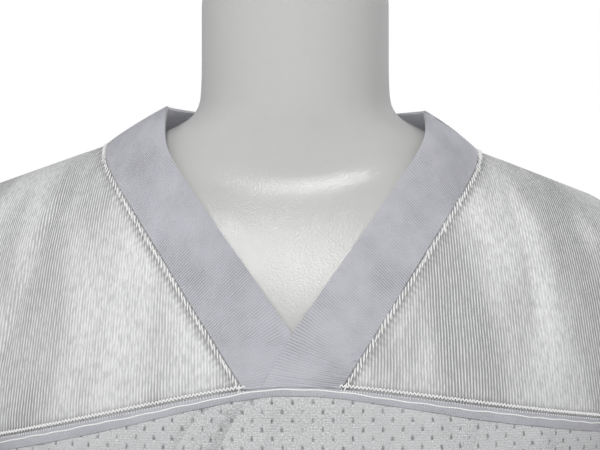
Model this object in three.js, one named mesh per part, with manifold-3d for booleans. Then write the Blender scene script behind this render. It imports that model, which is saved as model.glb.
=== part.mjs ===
// A V-neck football jersey on a limbless countertop display form, as closed solids in millimetres.
// +Z is up, -Y is the front and +X is the wearer's left. The origin is the middle of the base's underside.
// The cloth is one smooth draped surface, cut into its sewn panels, and each panel is a thin wall on it.

import * as THREE from "three";
import { mergeVertices } from "three/addons/utils/BufferGeometryUtils.js";
import Module from "manifold-3d";

const wasm = await Module();
wasm.setup();

const RIGHT_ANGLE = Math.PI / 2;

// ---------------------------------------------------------------------------------------------
// Driving sizes
// ---------------------------------------------------------------------------------------------

const CLOTH = { dazzle: 1.4, mesh: 1.4, tape: 1.8, rib: 2.4 }; // wall thicknesses
const SEAM_GAP = 1; // between two panels that are sewn to each other
const SEAT_GAP = 0.5; // between the form and the cloth that rests on it
const FOLD_ROOM = 5.4; // how much further the form stays back where the folds dip
const COLLAR_ROOM = 5.5; // and under the collar at the shoulders and behind

// The draped surface. A level is 0 on the shoulder line, 1 at the armpit and 2 at the hem.
const APEX_Z = 940; // where the two shoulder lines would meet
const HEM_Z = 130;
const CHEST_FALL = 235; // from the apex down to where the chest hangs plumb
const SHOULDER_HALF = 237; // half the width between the armhole tops
const ARMPIT_HALF = 222;
const HEM_HALF = 238;
const TIP = { start: 196, fall: 30, seamFall: 48, power: 2.2 }; // where and how the shoulders round down
const YOKE_SEAM_SOFTNESS = 45; // how softly a level line bends at its middle
const CURL = { most: 0.52, square: 0.84 }; // how far a section turns in at the armhole, and its fullness
const PINCH_HALF = 75; // half the width of the hollow under the neck
const FACES = {
  front: { sign: -1, depth: 125, hemDepth: 140, armhole: 62, pinch: 1.25 },
  back: { sign: 1, depth: 118, hemDepth: 134, armhole: 57, pinch: 0.4 },
};
const SIDES = {
  right: { shoulderSlope: 0.357, seamSlope: 0.24, collarHalf: 84, collarZ: 921 },
  left: { shoulderSlope: 0.39, seamSlope: 0.15, collarHalf: 88.5, collarZ: 918 },
};

// The cut. The yoke seams are levels of the draped surface, and the tape lies under each.
const FRONT_SEAM_Z = 742;
const BACK_SEAM_Z = 768;
const TAPE_WIDTH = { middle: 5.5, side: 9.5 };
const NECK = {
  tipZ: 774, // the point of the V
  innerSlope: 0.723, // half-width gained for each millimetre up
  lapSlope: 0.58, // the same for the lapped edge, below the point
  outerSlope: 0.65,
  outerHalf: 123,
  outerSeamHalf: 31,
  standFrom: 858, // the band stands off the form above this
  standOver: 60, // the height over which it comes to do so
  stand: 11,
  crown: 0.6, // how far the middle of the band swells
  backFullness: 1.15, // how squarely the neckline turns behind
  backInner: 74,
  backOuter: 70,
  edgeGap: 1.4, // between the band and the yokes
  rise: 25, // how much higher the inner edge is than the outer edge beside it
};

// Folds of the yokes and the chest, placed by the height and the distance from the middle of their
// two ends. A negative rise is a trough.
const CHEST_FOLDS = [
  { face: "front", fromX: 136, fromZ: 882, toX: 152, toZ: 716, bow: 4, rise: -4.2, width: 9 },
  { face: "front", fromX: 172, fromZ: 872, toX: 196, toZ: 700, bow: 5, rise: -3.2, width: 11 },
  { face: "front", fromX: 98, fromZ: 850, toX: 108, toZ: 742, bow: 2, rise: -1.4, width: 9 },
  { face: "front", fromX: 122, fromZ: 874, toX: 128, toZ: 700, bow: 3, rise: 1.6, width: 12 },
  { face: "front", fromX: -148, fromZ: 886, toX: -182, toZ: 700, bow: -3, rise: -4.0, width: 9 },
  { face: "front", fromX: -128, fromZ: 890, toX: -150, toZ: 742, bow: -2, rise: 1.8, width: 10 },
  { face: "front", fromX: -112, fromZ: 872, toX: -122, toZ: 752, bow: -2, rise: -1.3, width: 8 },
  { face: "front", fromX: -176, fromZ: 880, toX: -206, toZ: 700, bow: -4, rise: -2.6, width: 10 },
  { face: "front", fromX: -30, fromZ: 738, toX: -72, toZ: 600, bow: 0, rise: 3.4, width: 9 },
  { face: "front", fromX: -8, fromZ: 736, toX: -34, toZ: 640, bow: 0, rise: -2.6, width: 10 },
  { face: "front", fromX: -92, fromZ: 730, toX: -128, toZ: 610, bow: 0, rise: 2.6, width: 10 },
  { face: "front", fromX: 60, fromZ: 732, toX: 84, toZ: 610, bow: 0, rise: -1.8, width: 14 },
  { face: "back", fromX: 128, fromZ: 880, toX: 160, toZ: 660, bow: 4, rise: -4.0, width: 11 },
  { face: "back", fromX: 168, fromZ: 866, toX: 196, toZ: 690, bow: 4, rise: -3.0, width: 11 },
  { face: "back", fromX: -132, fromZ: 882, toX: -170, toZ: 670, bow: -4, rise: -3.6, width: 10 },
  { face: "back", fromX: -174, fromZ: 870, toX: -202, toZ: 690, bow: -3, rise: -3.0, width: 11 },
  { face: "back", fromX: 6, fromZ: 850, toX: -6, toZ: 640, bow: 3, rise: -2.2, width: 16 },
];

// Hanging folds of the body, placed by the distance round the panel from its middle. They deepen
// from their start down to the hem.
const HANGING_FOLDS = [
  { face: "front", girth: -262, startZ: 650, lean: 6, rise: 9, width: 24 },
  { face: "front", girth: -205, startZ: 690, lean: 16, rise: -12, width: 26 },
  { face: "front", girth: -140, startZ: 640, lean: 10, rise: 11, width: 26 },
  { face: "front", girth: -72, startZ: 600, lean: -6, rise: -9, width: 28 },
  { face: "front", girth: -8, startZ: 620, lean: 8, rise: 8, width: 30 },
  { face: "front", girth: 62, startZ: 610, lean: 2, rise: -11, width: 26 },
  { face: "front", girth: 122, startZ: 650, lean: -10, rise: 10, width: 24 },
  { face: "front", girth: 188, startZ: 690, lean: -14, rise: -13, width: 26 },
  { face: "front", girth: 252, startZ: 640, lean: -4, rise: 10, width: 26 },
  { face: "back", girth: -256, startZ: 640, lean: 4, rise: 9, width: 26 },
  { face: "back", girth: -196, startZ: 680, lean: 12, rise: -11, width: 28 },
  { face: "back", girth: -124, startZ: 650, lean: 4, rise: 12, width: 30 },
  { face: "back", girth: -46, startZ: 660, lean: -8, rise: -10, width: 28 },
  { face: "back", girth: 30, startZ: 620, lean: 6, rise: 9, width: 26 },
  { face: "back", girth: 98, startZ: 660, lean: -4, rise: -12, width: 28 },
  { face: "back", girth: 168, startZ: 690, lean: -8, rise: 10, width: 28 },
  { face: "back", girth: 238, startZ: 660, lean: -6, rise: -9, width: 24 },
];
const PANEL_HALF_GIRTH = 305; // half the flat width of the front or the back

const SLEEVE = {
  cuffX: 263, // the cuff's middle
  cuffZ: 540,
  cuffHalfX: 27,
  cuffHalfY: 90,
  cuffTilt: 10, // how much higher the outside of the cuff is
  armpitLift: 2.2, // the under seam starts this far above the body's edge
  startGap: 1.4,
  topOut: 0.5, // how far the top of the sleeve sets out sideways, and down
  topDown: 0.87,
  underDown: 0.05, // how far its under side sets out down, while it goes straight out sideways
  lead: 110, // how far the sleeve keeps its first direction, and its last
  trail: 90,
  dent: 7, // the depth of its three long soft folds
  dentTurn: 0.6,
};

const FORM = {
  bottomZ: 215,
  roundness: 2.3, // the power of its superellipse sections
  flatFrom: 1.6, // its sections are level below this level
  topLevel: 0.06,
};
// The form's half-width, and how far it reaches forward and back, at each height.
const FORM_SECTIONS = [
  { z: 215, half: 158, front: 100, back: 104 },
  { z: 300, half: 164, front: 104, back: 112 },
  { z: 430, half: 142, front: 96, back: 92 },
  { z: 560, half: 160, front: 108, back: 100 },
  { z: 660, half: 180, front: 115, back: 106 },
  { z: 740, half: 198, front: 124, back: 116 },
  { z: 830, half: 207, front: 126, back: 118 },
  { z: 905, half: 204, front: 126, back: 118 },
];
// The neck's half-width, and how far it reaches forward and back.
const FORM_NECK = [
  { z: 800, half: 74, front: 60, back: 64 },
  { z: 896, half: 78, front: 60, back: 64 },
  { z: 906, half: 74, front: 60, back: 64 },
  { z: 914, half: 69, front: 59.5, back: 63 },
  { z: 928, half: 62.5, front: 59, back: 62 },
  { z: 1000, half: 62, front: 59, back: 62 },
];
const NECK_X = 1;
const RING = 48; // points round the neck
const CAP = { height: 9, grow: 1.5, edge: 2.5, bevel: 0.6, top: -2 };

const STAND = {
  baseRadius: 165,
  baseHeight: 7,
  baseEdge: 1.5,
  socketRadius: 30,
  socketHeight: 26,
  poleRadius: 15,
  flangeRadius: 48,
  flangeHeight: 8,
  gap: 0.3, // between two parts that are screwed to each other
};

const COLOURS = {
  dazzle: { color: 0xe9e9e7, roughness: 0.4, metalness: 0 },
  mesh: { color: 0xdededc, roughness: 0.75, metalness: 0 },
  rib: { color: 0xcfced6, roughness: 0.9, metalness: 0 },
  form: { color: 0xe4e4e0, roughness: 0.35, metalness: 0 },
  chrome: { color: 0xc8c8ca, roughness: 0.2, metalness: 1 },
};

// ---------------------------------------------------------------------------------------------
// Small helpers
// ---------------------------------------------------------------------------------------------

const mix = (a, b, t) => a + (b - a) * t;
const clamp01 = (t) => Math.min(1, Math.max(0, t));
const ease = (t) => clamp01(t) ** 2 * (3 - 2 * clamp01(t));
const softMin = (a, b, k) => -k * Math.log(Math.exp(-a / k) + Math.exp(-b / k));
const steps = (count) => Array.from({ length: count + 1 }, (_, i) => i / count);

// The value from 0 to 1 at which a rising function reaches the target.
function solve(rising, target, low = 0, high = 1) {
  for (let i = 0; i < 40; i++) {
    const middle = (low + high) / 2;
    if (rising(middle) < target) low = middle;
    else high = middle;
  }
  return (low + high) / 2;
}

// A column of a table of rows with a rising z, read at a height.
function readTable(rows, column, z) {
  const above = Math.max(1, rows.findIndex((row) => row.z >= z));
  const [low, high] = [rows[above - 1], rows[above]];
  return mix(low[column], high[column], ease((z - low.z) / (high.z - low.z)));
}

// ---------------------------------------------------------------------------------------------
// The draped surface
// ---------------------------------------------------------------------------------------------

const turnOf = (level) => Math.min(level, 1) * RIGHT_ANGLE;
const below = (level) => Math.max(level - 1, 0);
const sideOf = (x) => (x < 0 ? SIDES.right : SIDES.left);

function fallOf(level) {
  return CHEST_FALL * (1 - Math.cos(turnOf(level))) + below(level) * (APEX_Z - CHEST_FALL - HEM_Z);
}

function halfWidthOf(level) {
  const chest = mix(SHOULDER_HALF, ARMPIT_HALF, Math.sin(turnOf(level)) ** 2);
  return chest + (HEM_HALF - ARMPIT_HALF) * ease(below(level));
}

// How far the level line has dropped at x, from its height at the middle.
function dropOf(level, x) {
  const side = sideOf(x);
  const bend = Math.sin(turnOf(level)) ** 2;
  const soft = YOKE_SEAM_SOFTNESS * bend;
  const slope = mix(side.shoulderSlope, side.seamSlope, bend);
  const tip = Math.max(0, Math.abs(x) - TIP.start) / (halfWidthOf(level) - TIP.start);
  const rounding = mix(TIP.fall, TIP.seamFall, bend) * tip ** TIP.power;
  const sag = slope * (Math.hypot(x, soft) - soft) + rounding;
  return sag * (1 - ease(below(level)));
}

// The distance of the surface in front of or behind the shoulder line. Across is -1 to 1.
function depthOf(face, across, level) {
  const { depth, hemDepth, armhole, pinch } = FACES[face];
  const turn = turnOf(level);
  const reach = level < 1 ? armhole * Math.sin(2 * turn) : 0;
  const most = RIGHT_ANGLE - (level < 1 ? CURL.most * Math.sin(2 * turn) : 0);
  const x = halfWidthOf(level) * Math.sin(across * most) / Math.sin(most);
  const middle = mix(depth, hemDepth, ease(below(level)))
    * Math.sin(turn) ** (1 + pinch * Math.exp(-((x / PINCH_HALF) ** 2)));
  const round = clamp01((Math.cos(across * most) - Math.cos(most)) / (1 - Math.cos(most)));
  const square = mix(1, CURL.square, ease((level - 0.9) / 0.4));
  return { x, y: reach + (middle - reach) * round ** square };
}

// How far the folds lift a point of the surface.
function foldOf(face, x, z, girth) {
  let lift = 0;
  for (const fold of CHEST_FOLDS) {
    const t = (fold.fromZ - z) / (fold.fromZ - fold.toZ);
    if (fold.face !== face || t <= 0 || t >= 1) continue;
    const middle = mix(fold.fromX, fold.toX, t) + fold.bow * Math.sin(Math.PI * t);
    const strength = ease(t / 0.3) * ease((1 - t) / 0.35);
    lift += fold.rise * strength * Math.exp(-(((x - middle) / fold.width) ** 2));
  }
  for (const fold of HANGING_FOLDS) {
    if (fold.face !== face || z >= fold.startZ) continue;
    const t = (fold.startZ - z) / (fold.startZ - HEM_Z);
    const away = (girth - fold.girth - fold.lean * t) / fold.width;
    lift += fold.rise * ease(t) * Math.exp(-(away ** 2));
  }
  return lift * ease((PANEL_HALF_GIRTH - Math.abs(girth)) / 40);
}

// A point of the inside of the cloth, before its folds.
function plainPoint(face, across, level) {
  const { x, y } = depthOf(face, across, level);
  const z = APEX_Z - fallOf(level) - dropOf(level, x);
  return new THREE.Vector3(x, FACES[face].sign * (y + SEAM_GAP / 2), z);
}

function outwardAt(face, across, level) {
  const step = 1e-3;
  const along = (d) => plainPoint(face, Math.min(1, Math.max(-1, across + d)), level);
  const down = (d) => plainPoint(face, across, Math.max(0, level + d));
  const normal = along(step).sub(along(-step)).cross(down(step).sub(down(-step)));
  return normal.normalize().multiplyScalar(FACES[face].sign);
}

function drapedPoint(face, across, level, rise = 0) {
  const point = plainPoint(face, across, level);
  const lift = foldOf(face, point.x, point.z, across * PANEL_HALF_GIRTH);
  return point.addScaledVector(outwardAt(face, across, level), lift + rise);
}

// The share of the half-width at which the surface has this x.
function acrossAt(face, x, level) {
  return solve((share) => depthOf(face, share, level).x, x, -1, 1);
}

// The level at which the surface, at this x, has come down to z or out to y.
function levelAtHeight(x, z) {
  return solve((level) => fallOf(level) + dropOf(level, x), APEX_Z - z, 0, 1.2);
}

function levelAtDepth(face, x, y) {
  return solve((level) => depthOf(face, acrossAt(face, x, level), level).y, y);
}

const seamLevel = (z) => solve(fallOf, APEX_Z - z);
const FRONT_SEAM = seamLevel(FRONT_SEAM_Z);
const BACK_SEAM = seamLevel(BACK_SEAM_Z);
const levelStep = (seam, width) => width / (CHEST_FALL * RIGHT_ANGLE * Math.sin(turnOf(seam)));

// ---------------------------------------------------------------------------------------------
// Closed walls from grids of points
// ---------------------------------------------------------------------------------------------

function gridNormals(grid, closed) {
  const rows = grid.length;
  const count = grid[0].length;
  return grid.map((row, j) => row.map((_, i) => {
    const [up, down] = [grid[Math.max(j - 1, 0)], grid[Math.min(j + 1, rows - 1)]];
    const next = closed ? (i + 1) % count : Math.min(i + 1, count - 1);
    const last = closed ? (i + count - 1) % count : Math.max(i - 1, 0);
    const along = new THREE.Vector3().subVectors(row[next], row[last]);
    const across = new THREE.Vector3().subVectors(down[i], up[i]);
    return across.cross(along).normalize();
  }));
}

function raised(grid, rise, closed) {
  const normals = gridNormals(grid, closed);
  return grid.map((row, j) => row.map((point, i) => point.clone().addScaledVector(normals[j][i], rise)));
}

// The wall between two grids of points. Their rows run so that down the rows crossed with along a
// row points outwards. Closed grids make a tube.
function wallGeometry(inside, outside, closed = false) {
  const rows = inside.length;
  const count = inside[0].length;
  const positions = [inside, outside].flat(2).flatMap((point) => [point.x, point.y, point.z]);
  const at = (layer, j, i) => layer * rows * count + j * count + (i % count);
  const index = [];
  const quad = (a, b, c, d) => index.push(a, c, b, a, d, c);
  const across = closed ? count : count - 1;
  for (let j = 0; j < rows - 1; j++)
    for (let i = 0; i < across; i++) {
      quad(at(1, j, i), at(1, j, i + 1), at(1, j + 1, i + 1), at(1, j + 1, i));
      quad(at(0, j, i), at(0, j + 1, i), at(0, j + 1, i + 1), at(0, j, i + 1));
    }
  for (let i = 0; i < across; i++) {
    quad(at(0, 0, i), at(0, 0, i + 1), at(1, 0, i + 1), at(1, 0, i));
    quad(at(1, rows - 1, i), at(1, rows - 1, i + 1), at(0, rows - 1, i + 1), at(0, rows - 1, i));
  }
  if (!closed)
    for (let j = 0; j < rows - 1; j++) {
      quad(at(0, j, 0), at(1, j, 0), at(1, j + 1, 0), at(0, j + 1, 0));
      quad(at(1, j, count - 1), at(0, j, count - 1), at(0, j + 1, count - 1), at(1, j + 1, count - 1));
    }
  const geometry = new THREE.BufferGeometry();
  geometry.setAttribute("position", new THREE.Float32BufferAttribute(positions, 3));
  geometry.setIndex(index);
  return geometry;
}

// A panel's wall, from rows of {across, level} places on the draped surface.
function panelGeometry(face, places, thickness) {
  const rows = face === "front" ? places : places.map((row) => [...row].reverse());
  const [inside, outside] = [0, thickness].map((rise) =>
    rows.map((row) => row.map(({ across, level }) => drapedPoint(face, across, level, rise))));
  return wallGeometry(inside, outside);
}

// ---------------------------------------------------------------------------------------------
// The neckline
// ---------------------------------------------------------------------------------------------

const innerHalfAt = (sign, z) =>
  softMin(NECK.innerSlope * (z - NECK.tipZ), sideOf(sign).collarHalf, 4);
const outerHalfAt = (z) =>
  softMin(NECK.outerSeamHalf + NECK.outerSlope * (z - FRONT_SEAM_Z), NECK.outerHalf, 3);
const standAt = (z) => NECK.stand * ease((z - NECK.standFrom) / NECK.standOver);

function shoulderZ(sign) {
  const rising = (z) => z - (APEX_Z - dropOf(0, sign * outerHalfAt(z)));
  return solve(rising, 0, 860, 920);
}

// Where the yoke's neck edge, which the band is sewn to, crosses a level of the front.
function neckEdgeAt(sign, level) {
  const rising = (half) =>
    half - outerHalfAt(APEX_Z - fallOf(level) - dropOf(level, sign * half));
  return solve(rising, 0, 20, 140);
}

// A point across the front of the band, from the outer edge at 0 to the inner edge at 1. The climb
// is 0 at the yoke seam and 1 on the shoulder. The left half laps over, so its inner edge runs on
// past the point of the V, and the right half ends against it.
function frontBandPoint(sign, climb, share) {
  const seamZ = APEX_Z - fallOf(FRONT_SEAM) - dropOf(FRONT_SEAM, NECK.outerSeamHalf);
  const outerZ = mix(seamZ, shoulderZ(sign), climb);
  const outerX = sign * (outerHalfAt(outerZ) - NECK.edgeGap);
  const peakZ = sideOf(sign).collarZ;
  const innerZ = mix(outerZ + NECK.rise * ease(climb / 0.2), peakZ, ease((climb - 0.7) / 0.3));
  const innerX = innerZ > NECK.tipZ
    ? sign * innerHalfAt(sign, innerZ)
    : NECK.lapSlope * (innerZ - NECK.tipZ) - (sign < 0 ? SEAM_GAP : 0);
  const x = mix(outerX, innerX, share);
  const seamTopZ = APEX_Z - fallOf(FRONT_SEAM) - dropOf(FRONT_SEAM, x) + SEAM_GAP;
  const z = Math.max(mix(outerZ, innerZ, share), seamTopZ);
  const stand = standAt(innerZ) * share;
  const level = Math.max(levelAtHeight(x, z - stand), 0);
  const point = plainPoint("front", acrossAt("front", x, level), level);
  const crown = NECK.crown * Math.sin(Math.PI * share);
  return new THREE.Vector3(x, point.y - crown, z);
}

const NECK_TURNS = 8; // steps round a quarter of the back of the neckline

function backOuterPlan(sign, turn) {
  const half = outerHalfAt(shoulderZ(sign));
  return { x: sign * half * Math.cos(turn), y: NECK.backOuter * Math.sin(turn) ** NECK.backFullness };
}

// The same across the back, where the turn is 0 on the shoulder and a right angle at the middle.
function backBandPoint(sign, turn, share) {
  const plan = backOuterPlan(sign, turn);
  const level = levelAtDepth("back", plan.x, plan.y);
  const outer = plainPoint("back", acrossAt("back", plan.x, level), level);
  const { collarHalf, collarZ } = sideOf(sign);
  const middleZ = (SIDES.right.collarZ + SIDES.left.collarZ) / 2;
  const inner = new THREE.Vector3(
    sign * collarHalf * Math.cos(turn),
    NECK.backInner * Math.sin(turn),
    mix(collarZ, middleZ, Math.sin(turn)),
  );
  const width = outer.distanceTo(inner);
  return outer.lerp(inner, mix(NECK.edgeGap / width, 1, share));
}

function collarGeometry() {
  const across = steps(3);
  const climbs = [0, 0.05, 0.1, 0.16, 0.24, 0.34, 0.45, 0.56, 0.67, 0.78, 0.87, 0.94];
  const turns = steps(2 * NECK_TURNS).map((t) => Math.PI * t);
  const grid = [
    ...climbs.map((climb) => across.map((share) => frontBandPoint(-1, climb, share))),
    ...turns.map((turn) => across.map((share) => (turn <= RIGHT_ANGLE
      ? backBandPoint(-1, turn, share)
      : backBandPoint(1, Math.PI - turn, share)))),
    ...[...climbs].reverse().map((climb) => across.map((share) => frontBandPoint(1, climb, share))),
  ];
  const inside = grid.map((row) => row.reverse());
  return wallGeometry(inside, raised(inside, CLOTH.rib, false));
}

// ---------------------------------------------------------------------------------------------
// The panels
// ---------------------------------------------------------------------------------------------

const HALF_GAP = SEAM_GAP / 2;
const COLUMNS = 32; // across the front or the back
const YOKE_COLUMNS = 14; // across each front yoke
const UNDER_ARMPIT = 1.02; // the level of the first body row below the armpit

function frontYokeGeometry(sign) {
  const last = FRONT_SEAM - levelStep(FRONT_SEAM, HALF_GAP);
  const places = steps(13).map((t) => {
    const level = last * t;
    const neck = acrossAt("front", sign * neckEdgeAt(sign, level), level);
    const row = steps(YOKE_COLUMNS).map((share) => ({ across: mix(neck, sign, share), level }));
    return sign > 0 ? row : row.reverse();
  });
  return panelGeometry("front", places, CLOTH.dazzle);
}

// The top of the back yoke at a column, which is on the neckline or on the shoulder.
function backYokeTop(across) {
  const sign = across < 0 ? -1 : 1;
  const column = Math.abs(across) * (COLUMNS / 2);
  if (column < NECK_TURNS) {
    const plan = backOuterPlan(sign, RIGHT_ANGLE * (1 - column / NECK_TURNS));
    const level = levelAtDepth("back", plan.x, plan.y);
    return { across: acrossAt("back", plan.x, level), level };
  }
  const neck = acrossAt("back", outerHalfAt(shoulderZ(1)), 0);
  const t = (column - NECK_TURNS) / (COLUMNS / 2 - NECK_TURNS);
  return { across: sign * mix(neck, 1, t), level: 0 };
}

function backYokeGeometry() {
  const last = BACK_SEAM - levelStep(BACK_SEAM, HALF_GAP);
  const columns = columnsOf("back").map((across) => ({ across, top: backYokeTop(across) }));
  const places = steps(11).map((t) => columns.map(({ across, top }) => ({
    across: mix(top.across, across, t),
    level: mix(top.level, last, t),
  })));
  return panelGeometry("back", places, CLOTH.dazzle);
}

// The columns of the tape and the body. On the front they meet those of the yokes above them.
function columnsOf(face) {
  if (face === "back") return steps(COLUMNS).map((share) => 2 * share - 1);
  const [right, left] = [-1, 1].map((sign) =>
    acrossAt("front", sign * neckEdgeAt(sign, FRONT_SEAM), FRONT_SEAM));
  return [
    ...steps(YOKE_COLUMNS).map((share) => mix(-1, right, share)),
    ...steps(COLUMNS - 2 * YOKE_COLUMNS).slice(1, -1).map((share) => mix(right, left, share)),
    ...steps(YOKE_COLUMNS).map((share) => mix(left, 1, share)),
  ];
}

// The wall from one level to another below the yoke, each given as a function of the across.
function belowYokeGeometry(face, levels, thickness) {
  const columns = columnsOf(face);
  const places = levels.map((levelOf) =>
    columns.map((across) => ({ across, level: levelOf(across) })));
  return panelGeometry(face, places, thickness);
}

const tapeWidthAt = (across) => mix(TAPE_WIDTH.middle, TAPE_WIDTH.side, ease(Math.abs(across) / 0.45));
const underTape = (seam, across, gap) => seam + levelStep(seam, tapeWidthAt(across) + gap);

function tapeGeometry(face, seam) {
  const first = () => seam + levelStep(seam, HALF_GAP);
  const last = (across) => underTape(seam, across, -HALF_GAP);
  return belowYokeGeometry(face, [first, last], CLOTH.tape);
}

function bodyGeometry(face, seam) {
  const chest = steps(3).map((t) => (across) => mix(underTape(seam, across, HALF_GAP), UNDER_ARMPIT, t));
  const skirt = steps(14).slice(1).map((t) => () => mix(UNDER_ARMPIT, 2, t));
  return belowYokeGeometry(face, [...chest, ...skirt], CLOTH.mesh);
}

// ---------------------------------------------------------------------------------------------
// The sleeves, which hang empty from the armholes
// ---------------------------------------------------------------------------------------------

function armholePoint(sign, round) {
  const face = round <= 0.5 ? "front" : "back";
  const level = 1 - Math.abs(1 - 2 * round);
  return drapedPoint(face, sign, level);
}

// A point round the sleeve, at a share t of its length.
function sleevePoint(sign, round, t) {
  const angle = 2 * Math.PI * round;
  const under = (1 - Math.cos(angle)) / 2;
  const out = new THREE.Vector3(
    sign * mix(SLEEVE.topOut, 1, under),
    0,
    -mix(SLEEVE.topDown, SLEEVE.underDown, under),
  ).normalize();
  const start = armholePoint(sign, round)
    .addScaledVector(out, SLEEVE.startGap)
    .add(new THREE.Vector3(0, 0, SLEEVE.armpitLift * under ** 3));
  const end = new THREE.Vector3(
    sign * (SLEEVE.cuffX + SLEEVE.cuffHalfX * Math.cos(angle)),
    -SLEEVE.cuffHalfY * Math.sin(angle),
    SLEEVE.cuffZ + SLEEVE.cuffTilt * Math.cos(angle),
  );
  const length = start.distanceTo(end);
  const down = new THREE.Vector3(0, 0, -1);
  const point = start.multiplyScalar(2 * t ** 3 - 3 * t ** 2 + 1)
    .addScaledVector(out, (t ** 3 - 2 * t ** 2 + t) * Math.min(length, SLEEVE.lead))
    .addScaledVector(end, 3 * t ** 2 - 2 * t ** 3)
    .addScaledVector(down, (t ** 3 - t ** 2) * Math.min(length, SLEEVE.trail));
  const folds = Math.sin(3 * angle + SLEEVE.dentTurn) * Math.abs(Math.sin(angle));
  const dent = SLEEVE.dent * folds * ease(t);
  return point.add(new THREE.Vector3(sign * dent, 0, 0));
}

function sleeveGeometry(sign) {
  const count = 26;
  const grid = steps(8).map((t) =>
    steps(count).slice(0, count).map((round) => sleevePoint(sign, round, t)));
  const inside = sign < 0 ? grid : grid.map((row) => [...row].reverse());
  return wallGeometry(inside, raised(inside, CLOTH.dazzle, true), true);
}

// ---------------------------------------------------------------------------------------------
// The display form and its stand
// ---------------------------------------------------------------------------------------------

// How far the form stays back from the draped surface.
function roomAt(face, x, level) {
  const folded = face === "back" ? 1 : ease((Math.abs(x) - 70) / 30);
  const folds = FOLD_ROOM * folded * ease(level / 0.25);
  const collar = COLLAR_ROOM * ease((0.55 - level) / 0.3) * ease((150 - Math.abs(x)) / 50);
  return SEAT_GAP + Math.max(folds, collar);
}

// A point of the form on a level, under the draped surface and inside the form's own section.
function formPoint(face, swing, level) {
  const turn = turnOf(level);
  const midZ = APEX_Z - fallOf(level);
  const half = readTable(FORM_SECTIONS, "half", midZ);
  const x = half * Math.sin(swing);
  const own = readTable(FORM_SECTIONS, face, midZ)
    * Math.max(0, 1 - Math.abs(Math.sin(swing)) ** FORM.roundness) ** (1 / FORM.roundness);
  const room = roomAt(face, x, level);
  const draped = depthOf(face, acrossAt(face, x, level), level).y;
  const under = draped * (1 - room / FACES[face].depth) - SEAT_GAP * ease(level) / 2;
  const flatten = 1 - ease(below(level) / below(FORM.flatFrom));
  const z = midZ - dropOf(level, x) * flatten - room * Math.cos(turn);
  return new THREE.Vector3(x, FACES[face].sign * Math.max(softMin(own, under, 2), 0.4), z);
}

function torsoGeometry() {
  const bottomLevel = 1 + (APEX_Z - CHEST_FALL - FORM.bottomZ) / (APEX_Z - CHEST_FALL - HEM_Z);
  const levels = [
    ...steps(10).map((t) => mix(bottomLevel, 1, t)),
    ...steps(16).slice(1).map((t) => mix(1, FORM.topLevel, t)),
  ];
  const swings = steps(26).map((t) => Math.PI * (t - 0.5));
  return loftGeometry(levels.map((level) => [
    ...swings.slice(0, -1).map((swing) => formPoint("front", swing, level)),
    ...swings.slice(1).reverse().map((swing) => formPoint("back", swing, level)),
  ]));
}

function neckRing(z, grow = 0) {
  const half = readTable(FORM_NECK, "half", z) + grow;
  return steps(RING).slice(0, RING).map((share) => {
    const angle = 2 * Math.PI * share;
    const depth = readTable(FORM_NECK, Math.sin(angle) < 0 ? "front" : "back", z) + grow;
    return new THREE.Vector3(NECK_X + half * Math.cos(angle), depth * Math.sin(angle), z);
  });
}

function neckGeometry() {
  const heights = [830, ...FORM_NECK.slice(1, -1).map(({ z }) => z), 965, FORM_NECK.at(-1).z];
  return loftGeometry(heights.map((z) => neckRing(z)));
}

function solidOf(geometry) {
  const merged = mergeVertices(geometry);
  return new wasm.Manifold(new wasm.Mesh({
    numProp: 3,
    vertProperties: merged.attributes.position.array,
    triVerts: new Uint32Array(merged.index.array),
  }));
}

function geometryOf(solid) {
  const { vertProperties, triVerts } = solid.getMesh();
  const geometry = new THREE.BufferGeometry();
  geometry.setAttribute("position", new THREE.BufferAttribute(vertProperties, 3));
  geometry.setIndex(new THREE.BufferAttribute(triVerts, 1));
  return geometry;
}

const formGeometry = () => geometryOf(solidOf(torsoGeometry()).add(solidOf(neckGeometry())));

// A solid through closed rings of an even count, from the lowest to the highest. Each ring is
// symmetrical about the line through its first and its middle point, and its ends are strips.
function loftGeometry(rings) {
  const count = rings[0].length;
  const positions = rings.flatMap((ring) => ring.flatMap((p) => [p.x, p.y, p.z]));
  const index = [];
  const at = (j, i) => j * count + ((i + count) % count);
  for (let j = 0; j < rings.length - 1; j++)
    for (let i = 0; i < count; i++)
      index.push(at(j, i), at(j, i + 1), at(j + 1, i + 1), at(j, i), at(j + 1, i + 1), at(j + 1, i));
  for (const j of [0, rings.length - 1])
    for (let i = 0; i < count / 2; i++) {
      const quad = [at(j, i), at(j, i + 1), at(j, -i - 1), at(j, -i)];
      const [a, b, c, d] = j ? quad : quad.reverse();
      if (i < count / 2 - 1) index.push(a, b, c);
      if (i > 0) index.push(a, c, d);
    }
  const geometry = new THREE.BufferGeometry();
  geometry.setAttribute("position", new THREE.Float32BufferAttribute(positions, 3));
  geometry.setIndex(index);
  return geometry;
}

function neckCapGeometry() {
  const start = FORM_NECK.at(-1).z + STAND.gap;
  const end = start + CAP.height;
  const rows = [
    { z: start, grow: CAP.grow },
    { z: end - CAP.edge, grow: CAP.grow },
    { z: end - CAP.bevel, grow: CAP.bevel },
    { z: end, grow: CAP.top },
  ];
  return loftGeometry(rows.map(({ z, grow }) =>
    neckRing(FORM_NECK.at(-1).z, grow).map((p) => p.setZ(z))));
}

// A turned piece on the stand's axis, from {radius, z} points that start and end on the axis.
function turnedGeometry(profile, segments = 48) {
  const points = profile.map(({ radius, z }) => new THREE.Vector2(radius, z));
  return new THREE.LatheGeometry(points, segments).rotateX(RIGHT_ANGLE);
}

function cylinderProfile(radius, low, high) {
  return [{ radius: 0, z: low }, { radius, z: low }, { radius, z: high }, { radius: 0, z: high }];
}

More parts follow.
